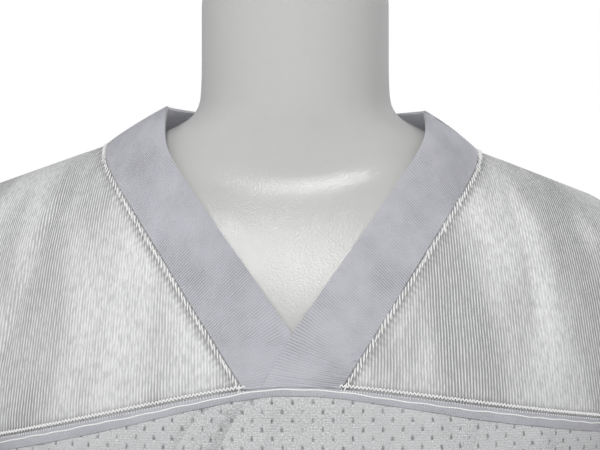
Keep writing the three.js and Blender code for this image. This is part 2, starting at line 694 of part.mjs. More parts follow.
function baseGeometry() {
  const { baseRadius: radius, baseHeight: height, baseEdge: edge } = STAND;
  return turnedGeometry([
    { radius: 0, z: 0 },
    { radius: radius - edge, z: 0 },
    { radius, z: edge },
    { radius, z: height - edge },
    { radius: radius - edge, z: height },
    { radius: 0, z: height },
  ], 64);
}

// ---------------------------------------------------------------------------------------------
// The model
// ---------------------------------------------------------------------------------------------

function piece(name, geometry, finish) {
  const mesh = new THREE.Mesh(geometry, new THREE.MeshStandardMaterial(COLOURS[finish]));
  mesh.name = name;
  return mesh;
}

function jersey() {
  const group = new THREE.Group();
  group.add(
    piece("collar_band", collarGeometry(), "rib"),
    piece("yoke_front_right", frontYokeGeometry(-1), "dazzle"),
    piece("yoke_front_left", frontYokeGeometry(1), "dazzle"),
    piece("yoke_back", backYokeGeometry(), "dazzle"),
    piece("seam_tape_front", tapeGeometry("front", FRONT_SEAM), "rib"),
    piece("seam_tape_back", tapeGeometry("back", BACK_SEAM), "rib"),
    piece("body_front", bodyGeometry("front", FRONT_SEAM), "mesh"),
    piece("body_back", bodyGeometry("back", BACK_SEAM), "mesh"),
    piece("sleeve_right", sleeveGeometry(-1), "dazzle"),
    piece("sleeve_left", sleeveGeometry(1), "dazzle"),
  );
  return group;
}

function displayForm() {
  const group = new THREE.Group();
  const { gap, flangeRadius, flangeHeight, poleRadius, socketRadius, socketHeight } = STAND;
  const flangeZ = FORM.bottomZ - gap - flangeHeight;
  const socketZ = STAND.baseHeight + gap;
  const poleZ = socketZ + socketHeight + gap;
  const flange = cylinderProfile(flangeRadius, flangeZ, flangeZ + flangeHeight);
  const pole = cylinderProfile(poleRadius, poleZ, flangeZ - gap);
  const socket = cylinderProfile(socketRadius, socketZ, poleZ - gap);
  group.add(
    piece("form_torso", formGeometry(), "form"),
    piece("form_neck_cap", neckCapGeometry(), "chrome"),
    piece("stand_flange", turnedGeometry(flange), "chrome"),
    piece("stand_pole", turnedGeometry(pole, 32), "chrome"),
    piece("stand_socket", turnedGeometry(socket), "chrome"),
    piece("stand_base", baseGeometry(), "chrome"),
  );
  return group;
}

const model = new THREE.Group();
model.add(jersey(), displayForm());

export default model;
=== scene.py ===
"""A V-neck football jersey on a limbless countertop display form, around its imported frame.

Blender 4.5, metres, +Z up, -Y to the front and +X to the wearer's left. The cloth is one draped
surface, cut into its sewn panels. Each panel is a thin shell on that surface with its folds, a UV
map that runs in metres along its threads, and a knitted material that reads the map.
"""

import math

import bpy
import numpy as np
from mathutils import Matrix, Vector


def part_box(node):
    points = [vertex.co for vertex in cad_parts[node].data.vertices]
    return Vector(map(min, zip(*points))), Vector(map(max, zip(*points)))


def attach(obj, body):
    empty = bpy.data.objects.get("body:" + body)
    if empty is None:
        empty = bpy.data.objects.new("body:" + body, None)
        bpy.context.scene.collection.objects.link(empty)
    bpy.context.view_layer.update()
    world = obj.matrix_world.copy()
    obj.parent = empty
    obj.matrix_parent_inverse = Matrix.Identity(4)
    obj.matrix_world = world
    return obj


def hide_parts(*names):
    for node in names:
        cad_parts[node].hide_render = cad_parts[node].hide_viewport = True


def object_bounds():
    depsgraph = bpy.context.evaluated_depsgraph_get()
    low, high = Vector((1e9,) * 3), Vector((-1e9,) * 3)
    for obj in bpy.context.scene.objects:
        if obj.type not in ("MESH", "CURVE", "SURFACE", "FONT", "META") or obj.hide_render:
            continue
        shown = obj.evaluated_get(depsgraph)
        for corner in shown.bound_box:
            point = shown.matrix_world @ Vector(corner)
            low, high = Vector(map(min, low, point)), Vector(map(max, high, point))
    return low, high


bl_info = {
    "name": "Football jersey on a display form",
    "version": (1, 0, 0),
    "blender": (4, 5, 0),
    "location": "3D View > Sidebar > Jersey",
    "description": "Builds the jersey's cloth, stitches, form and stage around the frame",
    "category": "Object",
}

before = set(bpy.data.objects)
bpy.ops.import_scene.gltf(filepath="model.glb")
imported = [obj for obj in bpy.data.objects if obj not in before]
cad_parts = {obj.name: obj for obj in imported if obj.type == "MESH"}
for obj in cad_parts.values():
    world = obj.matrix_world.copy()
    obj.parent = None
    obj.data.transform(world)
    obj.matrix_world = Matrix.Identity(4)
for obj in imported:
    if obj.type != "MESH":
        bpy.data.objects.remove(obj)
CAD_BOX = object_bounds()
BODY = "root"
HALF_PI = math.pi / 2

# ---------------------------------------------------------------------------------------------
# The draped surface's sizes, as in the frame's solids. A level is 0 on the shoulder line, 1 at the
# armpit and 2 at the hem.
# ---------------------------------------------------------------------------------------------

APEX_Z = 0.940
HEM_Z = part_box("body_front")[0][2]
CHEST_FALL = 0.235
SHOULDER_HALF = 0.237
ARMPIT_HALF = 0.222
HEM_HALF = 0.238
TIP = {"start": 0.196, "fall": 0.030, "seam_fall": 0.048, "power": 2.2}
FACES = {
    "front": {"sign": -1, "depth": 0.125, "hem": 0.140, "armhole": 0.062, "pinch": 1.25},
    "back": {"sign": 1, "depth": 0.118, "hem": 0.134, "armhole": 0.057, "pinch": 0.4},
}
SIDES = {
    -1: {"shoulder": 0.357, "seam": 0.24, "collar_half": 0.084, "collar_z": 0.921},
    1: {"shoulder": 0.39, "seam": 0.15, "collar_half": 0.0885, "collar_z": 0.918},
}
SEAM_Z = {"front": 0.742, "back": 0.768}
TAPE_MIDDLE = 0.0055
TAPE_SIDE = 0.0095
WALL = {"dazzle": 0.0011, "mesh": 0.0011, "tape": 0.0016, "rib": 0.0022}
GAP = 0.0002  # between two sewn edges
FAR_FROM_SEAM = 0.5  # a seam-map value that draws no painted pucker shade

TIP_Z = 0.774  # the point of the V
INNER_SLOPE = 0.723
LAP_SLOPE = 0.58
OUTER_SLOPE = 0.65
OUTER_HALF = 0.123
OUTER_SEAM_HALF = 0.031
BAND_RISE = 0.025
STAND_FROM = 0.858
STAND = 0.011
BACK_INNER = 0.074
BACK_OUTER = 0.070
PANEL_HALF_GIRTH = 0.305

# Folds of the yokes and the chest: height and distance from the middle of their two ends. A
# negative rise is a trough.
FOLD_FIELDS = ("face", "from_x", "from_z", "to_x", "to_z", "bow", "rise", "width")
CHEST_FOLDS = [dict(zip(FOLD_FIELDS, row)) for row in (
    ("front", 0.133, 0.886, 0.160, 0.752, 0.004, -0.0027, 0.0044),
    ("front", 0.146, 0.880, 0.172, 0.730, 0.005, 0.0022, 0.0095),
    ("front", 0.108, 0.872, 0.116, 0.700, 0.002, 0.0014, 0.0120),
    ("front", 0.098, 0.800, 0.104, 0.742, 0.001, -0.0009, 0.0050),
    ("front", 0.176, 0.872, 0.200, 0.735, 0.005, -0.0015, 0.0075),
    ("front", 0.060, 0.840, 0.066, 0.742, 0.001, 0.0008, 0.0080),
    ("front", -0.004, 0.741, -0.008, 0.640, 0.000, -0.0016, 0.0300),
    ("front", -0.136, 0.884, -0.188, 0.742, -0.006, -0.0036, 0.0042),
    ("front", -0.146, 0.880, -0.200, 0.728, -0.005, 0.0017, 0.0090),
    ("front", -0.118, 0.884, -0.150, 0.742, -0.003, 0.0016, 0.0095),
    ("front", -0.100, 0.850, -0.104, 0.750, -0.001, -0.0008, 0.0065),
    ("front", -0.078, 0.840, -0.080, 0.742, -0.001, 0.0008, 0.0090),
    ("front", -0.172, 0.876, -0.216, 0.735, -0.004, -0.0020, 0.0070),
    ("back", 0.128, 0.880, 0.160, 0.660, 0.004, -0.0038, 0.0085),
    ("back", 0.168, 0.866, 0.196, 0.690, 0.004, -0.0028, 0.0100),
    ("back", 0.096, 0.872, 0.112, 0.700, 0.003, 0.0018, 0.0100),
    ("back", -0.132, 0.882, -0.170, 0.670, -0.004, -0.0034, 0.0085),
    ("back", -0.174, 0.870, -0.202, 0.690, -0.003, -0.0028, 0.0100),
    ("back", -0.092, 0.874, -0.104, 0.710, -0.003, 0.0016, 0.0110),
    ("back", 0.006, 0.850, -0.006, 0.640, 0.003, -0.0020, 0.0140),
)]
# Short gathers that the yoke seam draws in the mesh under it: distance from the middle on the
# seam, how far they drift on their way down, length, rise and width.
GATHER_FIELDS = ("face", "from_x", "drift", "length", "rise", "width")
GATHERS = [dict(zip(GATHER_FIELDS, row)) for row in (
    ("front", -0.012, -0.014, 0.060, 0.0026, 0.0050),
    ("front", -0.025, -0.036, 0.065, -0.0040, 0.0056),
    ("front", -0.038, -0.045, 0.075, 0.0066, 0.0058),
    ("front", -0.054, -0.040, 0.065, -0.0034, 0.0050),
    ("front", -0.070, -0.022, 0.055, 0.0030, 0.0060),
    ("front", -0.098, -0.030, 0.075, -0.0024, 0.0075),
    ("front", -0.122, -0.026, 0.080, 0.0028, 0.0080),
    ("front", -0.158, -0.020, 0.070, -0.0020, 0.0090),
    ("front", 0.006, 0.008, 0.060, -0.0014, 0.0080),
    ("front", 0.026, 0.012, 0.050, 0.0014, 0.0080),
    ("front", 0.058, 0.018, 0.070, -0.0020, 0.0085),
    ("front", 0.088, 0.016, 0.060, 0.0018, 0.0080),
    ("front", 0.118, 0.014, 0.085, -0.0022, 0.0100),
    ("front", 0.156, 0.010, 0.070, 0.0018, 0.0090),
    ("back", -0.150, -0.020, 0.080, 0.0024, 0.0090),
    ("back", -0.096, -0.014, 0.070, -0.0022, 0.0085),
    ("back", -0.040, -0.008, 0.060, 0.0018, 0.0080),
    ("back", 0.018, 0.006, 0.075, -0.0018, 0.0090),
    ("back", 0.070, 0.010, 0.060, 0.0020, 0.0080),
    ("back", 0.132, 0.018, 0.080, -0.0024, 0.0095),
)]
# Hanging folds of the body, by the distance round the panel from its middle.
HANG_FIELDS = ("face", "girth", "start_z", "lean", "rise", "width")
HANGING_FOLDS = [dict(zip(HANG_FIELDS, row)) for row in (
    ("front", -0.262, 0.650, 0.006, 0.009, 0.024),
    ("front", -0.205, 0.690, 0.016, -0.012, 0.026),
    ("front", -0.140, 0.640, 0.010, 0.011, 0.026),
    ("front", -0.072, 0.600, -0.006, -0.009, 0.028),
    ("front", -0.008, 0.620, 0.008, 0.008, 0.030),
    ("front", 0.062, 0.610, 0.002, -0.011, 0.026),
    ("front", 0.122, 0.650, -0.010, 0.010, 0.024),
    ("front", 0.188, 0.690, -0.014, -0.013, 0.026),
    ("front", 0.252, 0.640, -0.004, 0.010, 0.026),
    ("back", -0.256, 0.640, 0.004, 0.009, 0.026),
    ("back", -0.196, 0.680, 0.012, -0.011, 0.028),
    ("back", -0.124, 0.650, 0.004, 0.012, 0.030),
    ("back", -0.046, 0.660, -0.008, -0.010, 0.028),
    ("back", 0.030, 0.620, 0.006, 0.009, 0.026),
    ("back", 0.098, 0.660, -0.004, -0.012, 0.028),
    ("back", 0.168, 0.690, -0.008, 0.010, 0.028),
    ("back", 0.238, 0.660, -0.006, -0.009, 0.024),
)]

# ---------------------------------------------------------------------------------------------
# Small helpers
# ---------------------------------------------------------------------------------------------


def mix(a, b, t):
    return a + (b - a) * t


def ease(t):
    t = np.clip(t, 0, 1)
    return t * t * (3 - 2 * t)


def bell(t):
    return np.exp(-t * t)


def soft_min(a, b, k):
    return -k * np.logaddexp(-np.asarray(a) / k, -np.asarray(b) / k)


def solve(rising, target, low, high, rounds=34):
    """Where a rising function of an array reaches the target, element by element."""
    target = np.asarray(target, float)
    low = np.full(target.shape, float(low))
    high = np.full(target.shape, float(high))
    for _ in range(rounds):
        middle = (low + high) / 2
        under = rising(middle) < target
        low = np.where(under, middle, low)
        high = np.where(under, high, middle)
    return (low + high) / 2


def points(x, y, z):
    return np.stack(np.broadcast_arrays(x, y, z), axis=-1)


# ---------------------------------------------------------------------------------------------
# The draped surface
# ---------------------------------------------------------------------------------------------


def turn_of(level):
    return np.minimum(level, 1) * HALF_PI


def below(level):
    return np.maximum(np.asarray(level) - 1, 0)


def fall_of(level):
    return CHEST_FALL * (1 - np.cos(turn_of(level))) + below(level) * (APEX_Z - CHEST_FALL - HEM_Z)


def half_width_of(level):
    chest = mix(SHOULDER_HALF, ARMPIT_HALF, np.sin(turn_of(level)) ** 2)
    return chest + (HEM_HALF - ARMPIT_HALF) * ease(below(level))


def side_value(x, key):
    return np.where(np.asarray(x) < 0, SIDES[-1][key], SIDES[1][key])


def drop_of(level, x):
    bend = np.sin(turn_of(level)) ** 2
    soft = 0.045 * bend
    slope = mix(side_value(x, "shoulder"), side_value(x, "seam"), bend)
    tip = np.maximum(0, np.abs(x) - TIP["start"]) / (half_width_of(level) - TIP["start"])
    rounding = mix(TIP["fall"], TIP["seam_fall"], bend) * tip ** TIP["power"]
    sag = slope * (np.hypot(x, soft) - soft) + rounding
    return sag * (1 - ease(below(level)))


def depth_of(face, across, level):
    """x, and how far the surface is in front of or behind the shoulder line."""
    size = FACES[face]
    turn = turn_of(level)
    above = np.asarray(level) < 1
    swell = np.where(above, np.sin(2 * turn), 0.0)
    reach = size["armhole"] * swell
    most = HALF_PI - 0.52 * swell
    x = half_width_of(level) * np.sin(across * most) / np.sin(most)
    power = 1 + size["pinch"] * bell(x / 0.075)
    middle = mix(size["depth"], size["hem"], ease(below(level))) * np.sin(turn) ** power
    edge = np.cos(most)
    rounded = np.clip((np.cos(across * most) - edge) / (1 - edge), 0, 1)
    square = mix(1, 0.84, ease((np.asarray(level) - 0.9) / 0.4))
    return x, reach + (middle - reach) * rounded ** square


def plain_point(face, across, level):
    x, y = depth_of(face, across, level)
    return points(x, FACES[face]["sign"] * (y + GAP / 2),
                  APEX_Z - fall_of(level) - drop_of(level, x))


def outward_at(face, across, level):
    step = 1e-3
    across, level = np.broadcast_arrays(np.asarray(across, float), np.asarray(level, float))
    right = plain_point(face, np.minimum(across + step, 1), level)
    left = plain_point(face, np.maximum(across - step, -1), level)
    low = plain_point(face, across, level + step)
    high = plain_point(face, across, np.maximum(level - step, 0))
    normal = np.cross(right - left, low - high) * FACES[face]["sign"]
    return normal / np.linalg.norm(normal, axis=-1, keepdims=True)


def fold_of(face, x, z, girth):
    """How far the folds lift a point of the surface."""
    lift = np.zeros(np.broadcast(x, z, girth).shape)
    for fold in CHEST_FOLDS:
        if fold["face"] != face:
            continue
        t = (fold["from_z"] - z) / (fold["from_z"] - fold["to_z"])
        middle = mix(fold["from_x"], fold["to_x"], t)
        middle = middle + fold["bow"] * np.sin(math.pi * np.clip(t, 0, 1))
        strength = ease(t / 0.3) * ease((1 - t) / 0.35)
        lift = lift + fold["rise"] * strength * bell((x - middle) / fold["width"])
    for fold in HANGING_FOLDS:
        if fold["face"] != face:
            continue
        t = (fold["start_z"] - z) / (fold["start_z"] - HEM_Z)
        away = (girth - fold["girth"] - fold["lean"] * np.clip(t, 0, 1)) / fold["width"]
        lift = lift + fold["rise"] * ease(t) * bell(away)
    return lift * ease((PANEL_HALF_GIRTH - np.abs(girth)) / 0.040)


def gather_of(face, x, down):
    """How far the short gathers lift the mesh, by the distance down from its top edge."""
    lift = np.zeros(np.broadcast(x, down).shape)
    for fold in GATHERS:
        if fold["face"] != face:
            continue
        t = down / fold["length"]
        middle = fold["from_x"] + fold["drift"] * t
        strength = ease(t / 0.12 + 0.35) * ease(1.25 - t)
        width = fold["width"] * (0.7 + 0.6 * t)
        lift = lift + fold["rise"] * strength * bell((x - middle) / width)
    return lift


def draped_point(face, across, level, rise=0.0):
    plain = plain_point(face, across, level)
    girth = np.asarray(across) * PANEL_HALF_GIRTH
    lift = fold_of(face, plain[..., 0], plain[..., 2], girth) + rise
    return plain + outward_at(face, across, level) * lift[..., None]


def across_at(face, x, level):
    return solve(lambda share: depth_of(face, share, level)[0], x, -1, 1)


def level_at_height(x, z):
    return solve(lambda level: fall_of(level) + drop_of(level, x), APEX_Z - z, 0, 1.2)


def level_at_depth(face, x, y):
    return solve(lambda level: depth_of(face, across_at(face, x, level), level)[1], y, 0, 1)


def seam_level(face):
    return float(solve(fall_of, APEX_Z - SEAM_Z[face], 0, 1))


SEAM = {face: seam_level(face) for face in FACES}


def level_step(seam, width):
    return width / (CHEST_FALL * HALF_PI * math.sin(turn_of(seam)))


# ---------------------------------------------------------------------------------------------
# The neckline
# ---------------------------------------------------------------------------------------------


def inner_half_at(sign, z):
    return soft_min(INNER_SLOPE * (z - TIP_Z), SIDES[sign]["collar_half"], 0.004)


def outer_half_at(z):
    return soft_min(OUTER_SEAM_HALF + OUTER_SLOPE * (z - SEAM_Z["front"]), OUTER_HALF, 0.003)


def shoulder_z(sign):
    gap = lambda z: z - (APEX_Z - drop_of(0.0, sign * outer_half_at(z)))
    return float(solve(gap, 0.0, 0.86, 0.92))


def neck_edge_at(sign, level):
    """Half the distance between the yokes at a level, where the band is sewn on."""
    level = np.asarray(level, float)
    gap = lambda half: half - outer_half_at(APEX_Z - fall_of(level) - drop_of(level, sign * half))
    return solve(gap, np.zeros(level.shape), 0.02, 0.14)


def front_band_point(sign, climb, share):
    """Across the front of the band, from its outer edge at 0 to its inner edge at 1."""
    level = SEAM["front"]
    seam_z = APEX_Z - fall_of(level) - drop_of(level, OUTER_SEAM_HALF)
    outer_z = mix(seam_z, shoulder_z(sign), climb)
    outer_x = sign * (outer_half_at(outer_z) - GAP)
    inner_z = mix(outer_z + BAND_RISE * ease(climb / 0.2), SIDES[sign]["collar_z"],
                  ease((climb - 0.7) / 0.3))
    lap_x = LAP_SLOPE * (inner_z - TIP_Z)
    inner_x = np.where(inner_z > TIP_Z, sign * inner_half_at(sign, inner_z), lap_x)
    x = mix(outer_x, inner_x, share)
    seam_top = APEX_Z - fall_of(level) - drop_of(level, x) + GAP / 4
    z = np.maximum(mix(outer_z, inner_z, share), seam_top)
    stand = STAND * ease((inner_z - STAND_FROM) / 0.060) * share
    at = np.maximum(level_at_height(x, z - stand), 0)
    y = plain_point("front", across_at("front", x, at), at)[..., 1]
    return points(x, y, z)


def back_outer_plan(sign, turn):
    half = outer_half_at(shoulder_z(sign))
    return sign * half * np.cos(turn), BACK_OUTER * np.sin(turn) ** 1.15


def back_band_point(sign, turn, share):
    x, y = back_outer_plan(sign, turn)
    level = level_at_depth("back", x, y)
    outer = plain_point("back", across_at("back", x, level), level)
    side = SIDES[sign]
    middle_z = (SIDES[-1]["collar_z"] + SIDES[1]["collar_z"]) / 2
    inner = points(
        sign * side["collar_half"] * np.cos(turn),
        BACK_INNER * np.sin(turn),
        mix(side["collar_z"], middle_z, np.sin(turn)),
    )
    return outer + (inner - outer) * np.asarray(share)[..., None]


# ---------------------------------------------------------------------------------------------
# Meshes
# ---------------------------------------------------------------------------------------------


def put(name, mesh, material=None):
    """Link a mesh as a piece, at the origin, with its material."""
    piece = bpy.data.objects.new(name, mesh)
    bpy.context.scene.collection.objects.link(piece)
    if material is not None:
        mesh.materials.clear()
        mesh.materials.append(material)
    return piece


def grid_normals(grid, closed=False):
    if closed:
        along = np.roll(grid, -1, axis=1) - np.roll(grid, 1, axis=1)
    else:
        along = np.gradient(grid, axis=1)
    normal = np.cross(np.gradient(grid, axis=0), along)
    return normal / np.linalg.norm(normal, axis=-1, keepdims=True)


def raised(grid, rise, closed=False):
    return grid + grid_normals(grid, closed) * np.asarray(rise)[..., None]


def shell_mesh(name, inside, outside, maps, closed=False):
    """The closed wall between two grids, whose rows run so that down crossed with along points out.

    Each map is a grid of UV pairs in metres, which both sides share.
    """
    rows, count = inside.shape[:2]
    verts = np.concatenate([inside.reshape(-1, 3), outside.reshape(-1, 3)])
    row = np.arange(rows)[:, None]
    column = np.arange(count)[None, :]
    at = row * count + column
    nxt = row * count + (column + 1) % count
    if not closed:
        at, nxt = at[:, :-1], nxt[:, :-1]
    size = rows * count
    outer = np.stack([at[:-1] + size, at[1:] + size, nxt[1:] + size, nxt[:-1] + size], -1)
    inner = np.stack([at[:-1], nxt[:-1], nxt[1:], at[1:]], -1)
    top = np.stack([at[0], at[0] + size, nxt[0] + size, nxt[0]], -1)
    foot = np.stack([at[-1], nxt[-1], nxt[-1] + size, at[-1] + size], -1)
    faces = [outer.reshape(-1, 4), inner.reshape(-1, 4), top, foot]
    if not closed:
        first = np.arange(rows) * count
        last = first + count - 1
        faces.append(np.stack([first[:-1], first[1:], first[1:] + size, first[:-1] + size], -1))
        faces.append(np.stack([last[:-1], last[:-1] + size, last[1:] + size, last[1:]], -1))
    faces = np.concatenate(faces)
    mesh = bpy.data.meshes.new(name)
    mesh.vertices.add(len(verts))
    mesh.vertices.foreach_set("co", verts.ravel())
    mesh.loops.add(faces.size)
    mesh.loops.foreach_set("vertex_index", faces.ravel().astype(np.int32))
    mesh.polygons.add(len(faces))
    mesh.polygons.foreach_set("loop_start", np.arange(len(faces), dtype=np.int32) * 4)
    mesh.update(calc_edges=True)
    mesh.validate()
    for label, uv in maps.items():
        layer = mesh.uv_layers.new(name=label)
        flat = np.concatenate([uv.reshape(-1, 2)] * 2)
        loops = np.empty(len(mesh.loops), dtype=np.int32)
        mesh.loops.foreach_get("vertex_index", loops)
        layer.uv.foreach_set("vector", flat[loops].ravel())
    smooth(mesh)
    return mesh


def smooth(mesh, angle=math.radians(50)):
    mesh.polygons.foreach_set("use_smooth", [True] * len(mesh.polygons))
    mesh.set_sharp_from_angle(angle=angle)


def loft_mesh(name, rings, angle=math.radians(35)):
    """A closed solid through rings of points, with a fan at each end."""
    rings = np.asarray(rings)
    rows, count = rings.shape[:2]
    ends = [rings[0].mean(axis=0), rings[-1].mean(axis=0)]
    verts = np.concatenate([rings.reshape(-1, 3), ends])
    faces = []
    for j in range(rows - 1):
        for i in range(count):
            k = (i + 1) % count
            faces.append((j * count + i, j * count + k, (j + 1) * count + k, (j + 1) * count + i))
    for i in range(count):
        k = (i + 1) % count
        faces.append((k, i, rows * count))
        faces.append(((rows - 1) * count + i, (rows - 1) * count + k, rows * count + 1))
    mesh = bpy.data.meshes.new(name)
    mesh.from_pydata(verts.tolist(), [], faces)
    mesh.update()
    smooth(mesh, angle)
    return mesh


def turned_mesh(name, profile, centre=(0.0, 0.0), segments=96):
    """A piece turned about a vertical axis, from (radius, height) points."""
    angle = np.linspace(0, 2 * math.pi, segments, endpoint=False)
    rings = [
        points(centre[0] + radius * np.cos(angle), centre[1] + radius * np.sin(angle), height)
        for radius, height in profile
    ]
    return loft_mesh(name, rings)


def rounded_profile(radius, low, high, edge, steps=5):
    """A disc's or a rod's profile with rounded rims."""
    turn = np.linspace(0, HALF_PI, steps)
    foot = [(radius - edge + edge * math.sin(a), low + edge - edge * math.cos(a)) for a in turn]
    head = [(radius - edge + edge * math.cos(a), high - edge + edge * math.sin(a)) for a in turn]
    return foot + head


# ---------------------------------------------------------------------------------------------
# Shader groups and materials
# ---------------------------------------------------------------------------------------------


class Nodes:
    """Adds nodes to a tree and links them by plain calls."""

    def __init__(self, tree):
        self.tree = tree

    def add(self, kind, inputs=None, **settings):
        node = self.tree.nodes.new(kind)
        for key, value in settings.items():
            setattr(node, key, value)
        for key, value in (inputs or {}).items():
            socket = node.inputs[key]
            if isinstance(value, bpy.types.NodeSocket):
                self.tree.links.new(value, socket)
            else:
                socket.default_value = value
        return node

    def math(self, operation, *values, clamp=False):
        node = self.add("ShaderNodeMath", dict(enumerate(values)), operation=operation,
                        use_clamp=clamp)
        return node.outputs[0]

    def blend(self, factor, a, b):
        node = self.add("ShaderNodeMix", data_type="RGBA")
        for index, value in ((0, factor), (6, a), (7, b)):
            if isinstance(value, bpy.types.NodeSocket):
                self.tree.links.new(value, node.inputs[index])
            else:
                node.inputs[index].default_value = value
        return node.outputs[2]

    def noise(self, vector, scale, detail=2.0, roughness=0.5):
        values = {"Vector": vector, "Scale": scale, "Detail": detail, "Roughness": roughness}
        return self.add("ShaderNodeTexNoise", values).outputs["Fac"]

    def wave(self, value, pitch, shape=1.0):
        """From 0 to 1 and back over each pitch; a shape over 1 narrows the crests."""
        turns = self.math("DIVIDE", value, pitch)
        swing = self.math("COSINE", self.math("MULTIPLY", turns, 2 * math.pi))
        unit = self.math("MULTIPLY_ADD", swing, 0.5, 0.5)
        return self.math("POWER", unit, shape)

    def range(self, value, low, high, to_low=0.0, to_high=1.0):
        values = {"Value": value, "From Min": low, "From Max": high, "To Min": to_low,
                  "To Max": to_high}
        return self.add("ShaderNodeMapRange", values,
                        interpolation_type="SMOOTHSTEP").outputs["Result"]


def new_group(name, inputs, outputs):
    """A shader group with float, vector or colour sockets, given as {name: (kind, default)}."""
    kinds = {"float": "NodeSocketFloat", "vector": "NodeSocketVector", "color": "NodeSocketColor"}
    tree = bpy.data.node_groups.new(name, "ShaderNodeTree")
    for label, (kind, default) in inputs.items():
        socket = tree.interface.new_socket(label, in_out="INPUT", socket_type=kinds[kind])
        if default is not None:
            socket.default_value = default
    for label, kind in outputs.items():
        tree.interface.new_socket(label, in_out="OUTPUT", socket_type=kinds[kind])
    nodes = Nodes(tree)
    return nodes, nodes.add("NodeGroupInput").outputs, nodes.add("NodeGroupOutput")


def rib_group():
    """Fine raised lines along a cloth, stronger in some patches than in others."""
    nodes, given, out = new_group(
        "fine_ribs",
        {"Thread": ("vector", None), "Pitch": ("float", 0.002), "Patch Scale": ("float", 14.0),
         "Least": ("float", 0.3)},
        {"Rib": "float", "Patch": "float"},
    )
    wobble = nodes.noise(given["Thread"], 30.0, 2.0)
    shifted = nodes.math("MULTIPLY_ADD", wobble, 0.0012, nodes.add(
        "ShaderNodeSeparateXYZ", {"Vector": given["Thread"]}).outputs["X"])
    rib = nodes.wave(shifted, given["Pitch"])
    squeezed = nodes.add("ShaderNodeVectorMath", {0: given["Thread"], 1: (1.0, 0.28, 1.0)},
                         operation="MULTIPLY").outputs[0]
    spots = nodes.noise(squeezed, given["Patch Scale"], 3.0, 0.6)
    patch = nodes.range(spots, 0.36, 0.66, given["Least"], 1.0)
    nodes.tree.links.new(rib, out.inputs["Rib"])
    nodes.tree.links.new(patch, out.inputs["Patch"])
    return nodes.tree


def slit_group():
    """Small upright slits on a staggered grid, and the pull of the yarn round them; the mesh paints
    shade round each slit and a highlight on the lip below it.
    """
    nodes, given, out = new_group(
        "slit_holes",
        {"Thread": ("vector", None), "Spacing": ("float", 0.0126), "Row": ("float", 0.0057),
         "Width": ("float", 0.0015), "Height": ("float", 0.0032)},
        {"Hole": "float", "Rim": "float", "Lip": "float"},
    )
    wobble = nodes.add("ShaderNodeTexNoise", {"Vector": given["Thread"], "Scale": 160.0})
    centred = nodes.add("ShaderNodeVectorMath", {0: wobble.outputs["Color"], 1: (0.5, 0.5, 0.5)},
                        operation="SUBTRACT").outputs[0]
    shaken = nodes.add("ShaderNodeVectorMath", {0: centred, 1: (0.0020, 0.0020, 0.0),
                                                2: given["Thread"]},
                       operation="MULTIPLY_ADD").outputs[0]
    split = nodes.add("ShaderNodeSeparateXYZ", {"Vector": shaken}).outputs
    row = nodes.math("DIVIDE", split["Y"], given["Row"])
    stagger = nodes.math("MULTIPLY", nodes.math("FLOORED_MODULO", nodes.math("FLOOR", row), 2.0),
                         0.5)
    column = nodes.math("ADD", nodes.math("DIVIDE", split["X"], given["Spacing"]), stagger)
    off_x = nodes.math("MULTIPLY", nodes.math("SUBTRACT", nodes.math("FRACT", column), 0.5),
                       given["Spacing"])
    off_y = nodes.math("MULTIPLY", nodes.math("SUBTRACT", nodes.math("FRACT", row), 0.5),
                       given["Row"])
    reach_x = nodes.math("DIVIDE", off_x, nodes.math("MULTIPLY", given["Width"], 0.5))
    reach_y = nodes.math("DIVIDE", off_y, nodes.math("MULTIPLY", given["Height"], 0.5))
    squares = nodes.math("ADD", nodes.math("MULTIPLY", reach_x, reach_x),
                         nodes.math("MULTIPLY", reach_y, reach_y))
    away = nodes.math("SQRT", squares)
    clear = nodes.range(nodes.noise(given["Thread"], 55.0, 3.0, 0.7), 0.34, 0.56, 0.45, 1.0)
    hole = nodes.math("MULTIPLY", nodes.range(away, 1.12, 0.88), clear)
    nodes.tree.links.new(hole, out.inputs["Hole"])
    rim = nodes.math("MULTIPLY", nodes.range(away, 2.2, 0.8), clear)
    nodes.tree.links.new(rim, out.inputs["Rim"])
    under = nodes.math("ADD", reach_y, 1.25)
    lip_squares = nodes.math("ADD", nodes.math("MULTIPLY", reach_x, reach_x),
                             nodes.math("MULTIPLY", under, under))
    nodes.tree.links.new(nodes.range(nodes.math("SQRT", lip_squares), 1.1, 0.2), out.inputs["Lip"])
    return nodes.tree


def grain_group():
    """The loops of a knit: fine courses crossed by finer wales, with loose fibres."""
    nodes, given, out = new_group(
        "knit_grain",
        {"Thread": ("vector", None), "Course": ("float", 0.0012), "Wale": ("float", 0.001),
         "Fibre Scale": ("float", 900.0)},
        {"Courses": "float", "Wales": "float", "Fibre": "float", "Cloud": "float"},
    )
    wobble = nodes.noise(given["Thread"], 90.0, 2.0)
    split = nodes.add("ShaderNodeSeparateXYZ", {"Vector": given["Thread"]}).outputs
    shifted = nodes.math("MULTIPLY_ADD", wobble, 0.0012, split["Y"])
    nodes.tree.links.new(nodes.wave(shifted, given["Course"]), out.inputs["Courses"])
    nodes.tree.links.new(nodes.wave(split["X"], given["Wale"]), out.inputs["Wales"])
    nodes.tree.links.new(nodes.noise(given["Thread"], given["Fibre Scale"], 3.0, 0.7),
                         out.inputs["Fibre"])
    nodes.tree.links.new(nodes.noise(given["Thread"], 16.0, 4.0, 0.6), out.inputs["Cloud"])
    return nodes.tree


def new_material(name, **fixed):
    """A material and its Principled shader, whose fixed values sit on its own sockets."""
    material = bpy.data.materials.new(name)
    material.use_nodes = True
    nodes = Nodes(material.node_tree)
    shader = material.node_tree.nodes["Principled BSDF"]
    for key, value in fixed.items():
        shader.inputs[key.replace("_", " ")].default_value = value
    return material, nodes, shader


def rgba(colour, share=1.0):
    return (colour[0] * share, colour[1] * share, colour[2] * share, 1.0)


